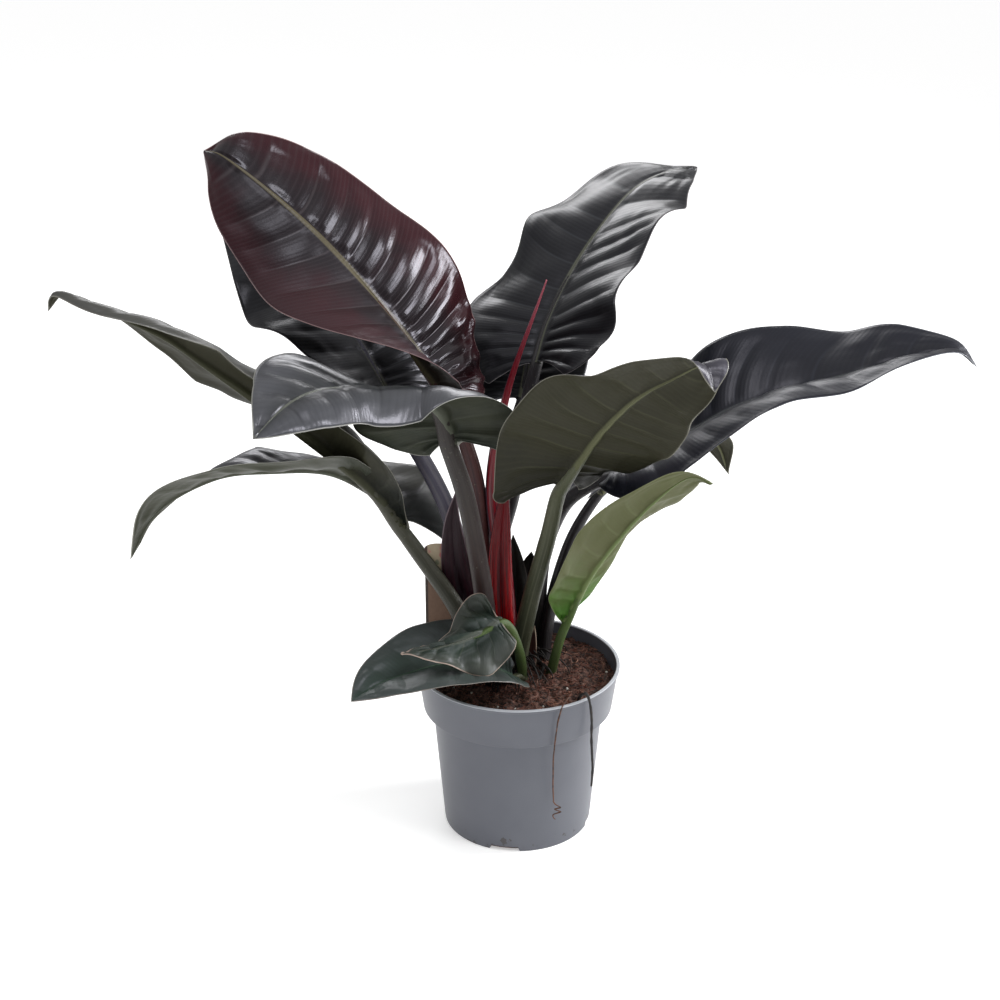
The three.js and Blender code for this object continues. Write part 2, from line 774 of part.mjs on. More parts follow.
// The label: an arched card on a pointed stake.
function labelSolid(grow = 0) {
  const [x, y, z] = LABEL.foot;
  const half = LABEL.width / 2;
  const stake = LABEL.stakeWidth / 2 + grow;
  const shape = new THREE.Shape();
  shape.moveTo(0, z - grow);
  shape.lineTo(stake, z + LABEL.pointHeight);
  shape.lineTo(stake, LABEL.shoulderZ);
  shape.lineTo(half, LABEL.shoulderZ + LABEL.stakeShoulder);
  shape.lineTo(half, LABEL.topZ - LABEL.topDrop);
  shape.quadraticCurveTo(half - 4, LABEL.topZ, 0, LABEL.topZ);
  shape.quadraticCurveTo(4 - half, LABEL.topZ, -half, LABEL.topZ - LABEL.topDrop);
  shape.lineTo(-half, LABEL.shoulderZ + LABEL.stakeShoulder);
  shape.lineTo(-stake, LABEL.shoulderZ);
  shape.lineTo(-stake, z + LABEL.pointHeight);
  const options = { depth: LABEL.thickness + 2 * grow, bevelEnabled: false, curveSegments: 4 };
  const geometry = new THREE.ExtrudeGeometry(shape, options);
  geometry.rotateX(Math.PI / 2).translate(x, y + grow, 0);
  return solidOf(geometry);
}

// Height of the soil's top, rough by a few millimetres and a little raised round the crown.
function soilHeight(x, y) {
  const ripple = Math.sin(x / 9 + 1) * Math.cos(y / 11) + Math.sin(x / 17 - y / 13);
  const away = Math.hypot(x - CROWN.x, y - CROWN.y) / SOIL_MOUND.spread;
  return SOIL_TOP + SOIL_MOUND.height * Math.exp(-(away ** 2)) + SOIL_ROUGHNESS * ripple;
}

// The soil: the space inside the pot, filled from its floor to just under the rim.
function soilSolid() {
  const gap = POT_WALL + SOIL_EDGE_GAP;
  const side = [
    [BASE_RADIUS - gap - BASE_EDGE, gap],
    [WALL_TOP_RADIUS - gap, COLLAR_FOOT_Z + POT_WALL - 0.5],
    [COLLAR_FOOT_RADIUS - gap, COLLAR_FOOT_Z + gap],
  ];
  const slope = (RIM_RADIUS - RIM_LIP - COLLAR_FOOT_RADIUS) / (POT_HEIGHT - RIM_BEAD - COLLAR_FOOT_Z);
  const edge = COLLAR_FOOT_RADIUS - gap + slope * (SOIL_TOP - SOIL_MOUND.height - COLLAR_FOOT_Z);
  const rings = side.map(([radius, height]) => ({ radius, height: () => height }));
  for (let i = SOIL_RINGS; i >= 1; i -= 1) {
    rings.push({ radius: (edge * i) / SOIL_RINGS, height: soilHeight });
  }
  const positions = [0, 0, gap];
  rings.forEach(({ radius, height }) => {
    for (let k = 0; k < POT_SIDES; k += 1) {
      const angle = (2 * Math.PI * k) / POT_SIDES;
      const [x, y] = [radius * Math.cos(angle), radius * Math.sin(angle)];
      positions.push(x, y, height(x, y));
    }
  });
  positions.push(0, 0, soilHeight(0, 0));
  const top = rings.length * POT_SIDES + 1;
  const triangles = [];
  for (let k = 0; k < POT_SIDES; k += 1) {
    const next = (k + 1) % POT_SIDES;
    triangles.push(0, next + 1, k + 1, top, top - POT_SIDES + k, top - POT_SIDES + next);
    for (let i = 0; i < rings.length - 1; i += 1) {
      const [a, b] = [i * POT_SIDES + k + 1, i * POT_SIDES + next + 1];
      triangles.push(a, b, b + POT_SIDES, a, b + POT_SIDES, a + POT_SIDES);
    }
  }
  return toSolid(positions, triangles);
}

function crownSolid(grow = 0) {
  const { radius, bottom, top, shoulder } = CROWN;
  const shape = lathe([
    [0, bottom - grow],
    [radius - shoulder + grow, bottom - grow],
    [radius + grow, bottom + 2 * shoulder],
    [radius + grow, top - shoulder],
    [radius - shoulder / 2 + grow, top - shoulder / 4 + grow],
    [0, top + grow],
  ], CROWN_SIDES);
  return shape.translate([CROWN.x, CROWN.y, 0]);
}

function meshOf(name, solid, colour, roughness) {
  const { vertProperties, triVerts } = solid.getMesh();
  const geometry = new THREE.BufferGeometry();
  geometry.setAttribute('position', new THREE.BufferAttribute(vertProperties, 3));
  geometry.setIndex(new THREE.BufferAttribute(triVerts, 1));
  const material = new THREE.MeshStandardMaterial({ color: colour, roughness, metalness: 0 });
  const mesh = new THREE.Mesh(geometry, material);
  mesh.name = name;
  return mesh;
}

// Pieces are placed in order, each with the same solid fattened by the clearance. What is placed
// later and would touch an earlier piece, such as the soil round a stalk, is cut to fit it.
const plant = new THREE.Group();
const fattened = [];

function place(name, shape, colour, roughness) {
  const fitted = fattened.reduce((rest, other) => rest.subtract(other), shape(0));
  plant.add(meshOf(name, largestBody(fitted), colour, roughness));
  fattened.push(shape(CLEARANCE));
}

// Only the stalks of the leaves are fattened, since each blade hangs clear of everything.
function placeLeaf([name, leaf]) {
  const shape = (grow) => (grow ? leafStalk(leaf, grow) : bladeSolid(leaf).add(leafStalk(leaf)));
  place(name, shape, leaf.colour, 0.35);
}

function placeRoot([name, { points, radii, colour }]) {
  place(name, (grow) => curvedStalk(points, radii, ROOT_STEPS, { grow, sides: ROOT_SIDES }), colour, 0.8);
}

function spearSolid(grow) {
  return curvedStalk(SPEAR.points, SPEAR.radii, SPEAR_STEPS, { grow });
}

// The crown stem and the feeder roots that grow out of it are one piece.
function crownWithFeeders(grow) {
  const options = { grow, sides: FEEDER_SIDES };
  const feeders = FEEDER_ROOTS.map((points) => curvedStalk(points, FEEDER_RADII, FEEDER_STEPS, options));
  return unionOf([crownSolid(grow), ...feeders]);
}

Object.entries(LEAVES).forEach(placeLeaf);
place('new_leaf_spear', spearSolid, SPEAR.colour, 0.4);
Object.entries(SHEATHS).forEach(([name, sheath]) => {
  place(name, (grow) => bladeSolid(sheath, grow), sheath.colour, 0.6);
});
place('plant_label', labelSolid, LABEL.colour, 0.4);
Object.entries(AERIAL_ROOTS).forEach(placeRoot);
place('crown_stem', crownWithFeeders, 0x2c2622, 0.8);
place('soil', soilSolid, 0x4a342b, 0.95);
plant.add(meshOf('pot', potSolid(), 0x6d7276, 0.45));

export default plant;
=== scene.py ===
# %% [markdown]
# # A potted red philodendron
#
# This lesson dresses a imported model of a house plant: thirteen broad glossy leaves on long
# stalks, a rolled new leaf, sheaths, roots, coir soil, a printed label and a grey nursery pot.
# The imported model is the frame. Its solids are faceted, so each is replaced here by a finer
# surface in the same place, worked out with numpy from the same driving dimensions.
# Tables are in millimetres and degrees. Meshes are in metres.

import bpy
import numpy as np
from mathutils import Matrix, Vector


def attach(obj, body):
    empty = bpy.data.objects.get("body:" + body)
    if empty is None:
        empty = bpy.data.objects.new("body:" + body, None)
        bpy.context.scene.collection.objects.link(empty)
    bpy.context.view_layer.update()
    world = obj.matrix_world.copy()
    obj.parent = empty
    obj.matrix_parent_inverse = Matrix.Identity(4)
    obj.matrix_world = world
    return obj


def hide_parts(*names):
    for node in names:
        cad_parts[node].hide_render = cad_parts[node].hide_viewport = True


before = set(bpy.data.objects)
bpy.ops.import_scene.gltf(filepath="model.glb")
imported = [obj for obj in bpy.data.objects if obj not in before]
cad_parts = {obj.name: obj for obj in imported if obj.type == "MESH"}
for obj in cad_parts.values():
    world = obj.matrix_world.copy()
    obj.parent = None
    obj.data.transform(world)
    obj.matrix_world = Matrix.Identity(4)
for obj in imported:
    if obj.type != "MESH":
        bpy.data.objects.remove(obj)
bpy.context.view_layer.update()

# %% [markdown]
# The camera comes first, so that every later choice can be judged through it. It stands
# about 1.9 m in front of the pot and 1.2 m up, looks down by 22.5 degrees, and its lens is
# a short telephoto one, which keeps the plant's proportions calm.

# %% Camera
MM = 0.001
CAMERA_PLACE = (-21, -1900, 1198)
CAMERA_DOWN = 22.5
CAMERA_LENS = 65.3
CAMERA_SENSOR = 36


def make_camera():
    """A camera at CAMERA_PLACE that looks along +Y and down by CAMERA_DOWN degrees."""
    data = bpy.data.cameras.new("camera")
    data.lens = CAMERA_LENS
    data.sensor_width = CAMERA_SENSOR
    camera = bpy.data.objects.new("camera", data)
    camera.location = np.array(CAMERA_PLACE) * MM
    camera.rotation_euler = (np.radians(90 - CAMERA_DOWN), 0, 0)
    bpy.context.scene.collection.objects.link(camera)
    bpy.context.scene.camera = camera
    return camera


camera = make_camera()
print("camera lens", camera.data.lens, "mm")

# %% [markdown]
# The light is that of a white studio: a white surround fills the shadows and keeps the floor
# white. Leaves this dark show mostly what they reflect, so reflections see a dim room that
# brightens upwards and towards the back, and a few softboxes give the streaks their edge.
# Separate answers for separate rays are the simplest way to get both.

# %% Light and floor
SURROUND_FILL = 0.7
SURROUND_DIM, SURROUND_BRIGHT = 0.1, 0.5
SURROUND_SEEN = 1.0
BACK_SHARE, BRIGHT_FROM = 0.5, 1.2
FLOOR_SIZE, FLOOR_GLOW = 40, 0.34
SOFTBOXES = [
    {"name": "light_side", "place": (2.1, 0.35, 1.25), "size": (0.7, 1.3), "power": 52},
    {"name": "light_right", "place": (1.35, -0.95, 2.5), "size": (0.8, 0.8), "power": 24},
    {"name": "light_left", "place": (-0.9, -0.7, 2.9), "size": (0.7, 0.7), "power": 12},
    {"name": "light_back", "place": (-0.35, 2.9, 1.75), "size": (1.8, 0.8), "power": 22},
]
LIGHT_TARGET = (0, 0, 0.45)


def make_softbox(name, place, size, power):
    """An area light that is turned to face LIGHT_TARGET."""
    data = bpy.data.lights.new(name, "AREA")
    data.shape = "RECTANGLE"
    data.size, data.size_y = size
    data.energy = power
    light = bpy.data.objects.new(name, data)
    light.location = place
    away = Vector(place) - Vector(LIGHT_TARGET)
    light.rotation_euler = away.to_track_quat("Z", "Y").to_euler()
    bpy.context.scene.collection.objects.link(light)


def make_surround():
    """A white world for the camera and for diffuse light, and a dim one for reflections,
    which brightens with height and towards the back."""
    world = bpy.data.worlds.new("studio")
    world.use_nodes = True
    nodes, links = world.node_tree.nodes, world.node_tree.links
    mirrored = nodes["Background"]
    seen, fill = (nodes.new("ShaderNodeBackground") for _ in range(2))
    seen.inputs["Strength"].default_value = SURROUND_SEEN
    fill.inputs["Strength"].default_value = SURROUND_FILL
    for background in (seen, fill, mirrored):
        background.inputs["Color"].default_value = (1, 1, 1, 1)
    split = nodes.new("ShaderNodeSeparateXYZ")
    links.new(nodes.new("ShaderNodeTexCoord").outputs["Generated"], split.inputs[0])
    level = nodes.new("ShaderNodeMath")
    level.operation = "MULTIPLY_ADD"
    level.inputs[1].default_value = BACK_SHARE
    links.new(split.outputs["Y"], level.inputs[0])
    links.new(split.outputs["Z"], level.inputs[2])
    height = nodes.new("ShaderNodeMapRange")
    height.inputs["From Min"].default_value = 0.0
    height.inputs["From Max"].default_value = BRIGHT_FROM
    height.inputs["To Min"].default_value = SURROUND_DIM
    height.inputs["To Max"].default_value = SURROUND_BRIGHT
    links.new(level.outputs[0], height.inputs["Value"])
    links.new(height.outputs[0], mirrored.inputs["Strength"])
    path = nodes.new("ShaderNodeLightPath")
    lit, shown = (nodes.new("ShaderNodeMixShader") for _ in range(2))
    links.new(path.outputs["Is Glossy Ray"], lit.inputs["Fac"])
    links.new(fill.outputs[0], lit.inputs[1])
    links.new(mirrored.outputs[0], lit.inputs[2])
    links.new(path.outputs["Is Camera Ray"], shown.inputs["Fac"])
    links.new(lit.outputs[0], shown.inputs[1])
    links.new(seen.outputs[0], shown.inputs[2])
    links.new(shown.outputs[0], nodes["World Output"].inputs["Surface"])
    bpy.context.scene.world = world


def make_floor():
    """A flat, pale and almost matt square at height 0, which glows a little to stay white."""
    half = FLOOR_SIZE / 2
    mesh = bpy.data.meshes.new("floor")
    corners = [(-half, -half, 0), (half, -half, 0), (half, half, 0), (-half, half, 0)]
    mesh.from_pydata(corners, [], [(0, 1, 2, 3)])
    material = bpy.data.materials.new("pale_floor")
    material.use_nodes = True
    shader = material.node_tree.nodes["Principled BSDF"]
    shader.inputs["Base Color"].default_value = (0.93, 0.93, 0.93, 1)
    shader.inputs["Roughness"].default_value = 0.75
    shader.inputs["Specular IOR Level"].default_value = 0.1
    shader.inputs["Emission Color"].default_value = (1, 1, 1, 1)
    shader.inputs["Emission Strength"].default_value = FLOOR_GLOW
    mesh.materials.append(material)
    floor = bpy.data.objects.new("floor", mesh)
    bpy.context.scene.collection.objects.link(floor)


for softbox in SOFTBOXES:
    make_softbox(**softbox)
make_surround()
make_floor()
bpy.context.scene.view_settings.view_transform = "Standard"
print("softboxes", len(SOFTBOXES))

# %% [markdown]
# ## Tools for surfaces
#
# All curved pieces rest on a few small tools: a smooth curve through rows of numbers, a
# smooth step, repeatable noise, and one function that turns arrays into a mesh object.

# %% Curves, steps and noise
NOISE_CELLS = 64


def smooth_rows(rows, t):
    """Catmull-Rom through rows of numbers, with mirrored ends; t runs from 0 to 1."""
    rows = np.asarray(rows, float)
    padded = np.vstack([2 * rows[0] - rows[1], rows, 2 * rows[-1] - rows[-2]])
    place = np.clip(t, 0, 1) * (len(rows) - 1)
    i = np.minimum(place.astype(int), len(rows) - 2)
    w = (place - i)[..., None]
    a, b, c, d = (padded[i + k] for k in range(4))
    start, end = (c - a) / 2, (d - b) / 2
    cubic = 2 * b - 2 * c + start + end
    square = -3 * b + 3 * c - 2 * start - end
    return ((cubic * w + square) * w + start) * w + b


def step(low, high, value):
    """0 below low, 1 above high, and a smooth S between them."""
    share = np.clip((value - low) / (high - low), 0, 1)
    return share * share * (3 - 2 * share)


def unit(vectors):
    """Vectors scaled to length 1."""
    length = np.linalg.norm(vectors, axis=-1, keepdims=True)
    return vectors / np.maximum(length, 1e-9)


def noise(x, y, seed):
    """Smooth random heights from -1 to 1: random values at whole x and y, blended between."""
    values = np.random.default_rng(seed).uniform(-1, 1, (NOISE_CELLS, NOISE_CELLS))
    i, j = np.floor(x).astype(int), np.floor(y).astype(int)
    u, v = step(0, 1, x - i), step(0, 1, y - j)
    i, j, i_next, j_next = (n % NOISE_CELLS for n in (i, j, i + 1, j + 1))
    near = values[i, j] * (1 - u) + values[i_next, j] * u
    far = values[i, j_next] * (1 - u) + values[i_next, j_next] * u
    return near * (1 - v) + far * v


def rough(x, y, seed, octaves=4):
    """Several layers of noise, each twice as fine and half as high as the last."""
    layers = [noise(x * 2**k, y * 2**k, seed + k) / 2**k for k in range(octaves)]
    return np.sum(layers, axis=0)


print("noise at a point", round(float(noise(np.array(0.4), np.array(0.7), 1)), 3))

# %% Arrays to a piece
def make_piece(name, points, faces, materials, values=None, uv=None, nodes=()):
    """A smooth-shaded mesh object from points in millimetres and a list of faces. values are
    named numbers at each point, uv is a pair at each point, nodes are the solids replaced."""
    mesh = bpy.data.meshes.new(name)
    mesh.from_pydata((points * MM).tolist(), [], faces)
    mesh.polygons.foreach_set("use_smooth", np.ones(len(mesh.polygons), bool))
    for key, numbers in (values or {}).items():
        layer = mesh.attributes.new(key, "FLOAT", "POINT")
        layer.data.foreach_set("value", np.asarray(numbers, np.float32).ravel())
    if uv is not None:
        corner = np.empty(len(mesh.loops), np.int32)
        mesh.loops.foreach_get("vertex_index", corner)
        layer = mesh.uv_layers.new(name="surface")
        layer.data.foreach_set("uv", uv.reshape(-1, 2)[corner].astype(np.float32).ravel())
    for material in materials:
        mesh.materials.append(material)
    mesh.update()
    piece = bpy.data.objects.new(name, mesh)
    bpy.context.scene.collection.objects.link(piece)
    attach(piece, "root")
    if nodes:
        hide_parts(*nodes)
    return piece


def grid_faces(rows, columns, start=0, closed=False):
    """Quads between neighbours of a grid of points that is stored row by row."""
    i, j = np.meshgrid(np.arange(rows - 1), np.arange(columns - (not closed)), indexing="ij")
    k = (j + 1) % columns
    quads = [i * columns + j, i * columns + k, (i + 1) * columns + k, (i + 1) * columns + j]
    return (np.stack(quads, -1).reshape(-1, 4) + start).tolist()


def fan(ring, pole):
    """Triangles from each pair of neighbours in a ring of point numbers to a pole."""
    return np.stack([ring[:-1], ring[1:], np.full(len(ring) - 1, pole)], -1).tolist()


print("a 3 by 4 grid has", len(grid_faces(3, 4)), "quads")

# %% [markdown]
# A stalk, a root and a fibre are all tubes: a round section carried along a smooth path.
# A Blender curve with a bevel would do, but a numpy tube can carry a groove, a changing
# radius and its own texture coordinates, and its ends close in a pole.

# %% Tubes
def tube_arrays(path, radius, sides, facing=(0, -1, 0), section=None):
    """Points and faces of a closed tube: round each point of the path a ring
    path + radius (front cos(angle) + side sin(angle)), and a pole at each end. front is the
    facing direction made square to the path. section is a radius factor round the ring."""
    along = unit(np.gradient(path, axis=0))
    facing = np.broadcast_to(np.asarray(facing, float), along.shape)
    front = unit(facing - np.sum(facing * along, -1, keepdims=True) * along)
    side = np.cross(along, front)
    angle = np.linspace(0, 2 * np.pi, sides, endpoint=False)
    factor = np.ones(sides) if section is None else section(angle)
    reach = np.asarray(radius)[:, None] * factor
    ring = front[:, None] * np.cos(angle)[None, :, None] + side[:, None] * np.sin(angle)[None, :, None]
    points = path[:, None] + ring * reach[..., None]
    count = len(path) * sides
    faces = grid_faces(len(path), sides, closed=True)
    loop = np.arange(sides + 1) % sides
    faces += [face[::-1] for face in fan(loop, count)]
    faces += fan(loop + count - sides, count + 1)
    return np.vstack([points.reshape(-1, 3), path[:1], path[-1:]]), faces


def tube_uv(rings, sides):
    """Round and along shares at each point of a tube, poles included."""
    along, around = np.meshgrid(np.linspace(0, 1, rings), np.arange(sides) / sides, indexing="ij")
    pairs = np.stack([around, along], -1).reshape(-1, 2)
    return np.vstack([pairs, [0.5, 0], [0.5, 1]])


print("tube tools ready")

# %% [markdown]
# ## Finishes
#
# Every finish is a Principled shader whose colour, roughness and bump come from small
# chains of nodes. The helper class below keeps those chains short to read: each call adds
# one node and gives back its output.

# %% Node helper
EXPOSED = 0.62


def srgb(red, green, blue):
    """A colour as seen on a screen, 0 to 255, as the linear colour that a shader takes. The
    softboxes add to a surround that is white already, so it is dimmed by EXPOSED."""
    share = np.array([red, green, blue]) / 255
    linear = np.where(share <= 0.04045, share / 12.92, ((share + 0.055) / 1.055) ** 2.4)
    return (*(EXPOSED * linear).tolist(), 1)


class Finish:
    """A material under construction: each method adds one node and returns its output."""

    def __init__(self, name, **constants):
        self.material = bpy.data.materials.new(name)
        self.material.use_nodes = True
        self.nodes = self.material.node_tree.nodes
        self.links = self.material.node_tree.links
        self.shader = self.nodes["Principled BSDF"]
        for key, value in constants.items():
            self.shader.inputs[key].default_value = value

    def put(self, socket, value):
        """Links an output to a socket, or writes a plain value on it."""
        if isinstance(value, bpy.types.NodeSocket):
            self.links.new(value, socket)
        else:
            socket.default_value = value

    def place(self):
        """Object coordinates, in metres."""
        return self.nodes.new("ShaderNodeTexCoord").outputs["Object"]

    def uv(self, stretch=(1, 1, 1)):
        """The piece's own UV map, stretched."""
        node = self.nodes.new("ShaderNodeMapping")
        self.links.new(self.nodes.new("ShaderNodeTexCoord").outputs["UV"], node.inputs[0])
        node.inputs["Scale"].default_value = stretch
        return node.outputs[0]

    def split(self, vector):
        """The three parts of a place or of a UV pair, each an output."""
        node = self.nodes.new("ShaderNodeSeparateXYZ")
        self.links.new(vector, node.inputs[0])
        return node.outputs

    def value(self, name):
        """A named number that the mesh carries at each point."""
        node = self.nodes.new("ShaderNodeAttribute")
        node.attribute_name = name
        return node.outputs["Fac"]

    def noise(self, place, scale, detail=3, roughness=0.55):
        """Soft random shades from 0 to 1; scale is how many fit in a metre or a UV width."""
        node = self.nodes.new("ShaderNodeTexNoise")
        self.put(node.inputs["Vector"], place)
        node.inputs["Scale"].default_value = scale
        node.inputs["Detail"].default_value = detail
        node.inputs["Roughness"].default_value = roughness
        return node.outputs["Fac"]

    def math(self, operation, first, second=0.0, third=0.0):
        """One sum on up to three numbers or outputs."""
        node = self.nodes.new("ShaderNodeMath")
        node.operation = operation
        for socket, value in zip(node.inputs, (first, second, third)):
            self.put(socket, value)
        return node.outputs[0]

    def range(self, value, low, high, start=0.0, end=1.0):
        """start below low, end above high, and a smooth S between them."""
        node = self.nodes.new("ShaderNodeMapRange")
        node.interpolation_type = "SMOOTHSTEP"
        self.put(node.inputs["Value"], value)
        node.inputs["From Min"].default_value = low
        node.inputs["From Max"].default_value = high
        node.inputs["To Min"].default_value = start
        node.inputs["To Max"].default_value = end
        return node.outputs[0]

    def mix(self, share, first, second):
        """The first colour where share is 0 and the second where it is 1."""
        node = self.nodes.new("ShaderNodeMix")
        node.data_type = "RGBA"
        self.put(node.inputs["Factor"], share)
        self.put(node.inputs["A"], first)
        self.put(node.inputs["B"], second)
        return node.outputs["Result"]

    def bump(self, height, distance):
        """A normal that follows a height; distance is how far a height of 1 stands out."""
        node = self.nodes.new("ShaderNodeBump")
        self.put(node.inputs["Height"], height)
        node.inputs["Distance"].default_value = distance
        return node.outputs[0]

    def done(self, colour, roughness, normal=None):
        """Links the last outputs to the shader and gives back the material."""
        self.put(self.shader.inputs["Base Color"], colour)
        self.put(self.shader.inputs["Roughness"], roughness)
        if normal is not None:
            self.links.new(normal, self.shader.inputs["Normal"])
        return self.material


print("finish helper ready")

# %% [markdown]
# ## The leaves
#
# A blade is one thin surface with a midrib down its middle. On the real plant the side veins
# leave the midrib close together and sweep forward to the margin, the blade puffs up a
# little between them, and each half tilts and curls its own way. Sculpting thirteen of them
# by hand would be slow and uneven, so one formula makes them all: a row of the table gives
# a place of the midrib and the tilt and curl of each half there, and the grid of points
# follows the veins, so that relief and colour can follow them too.

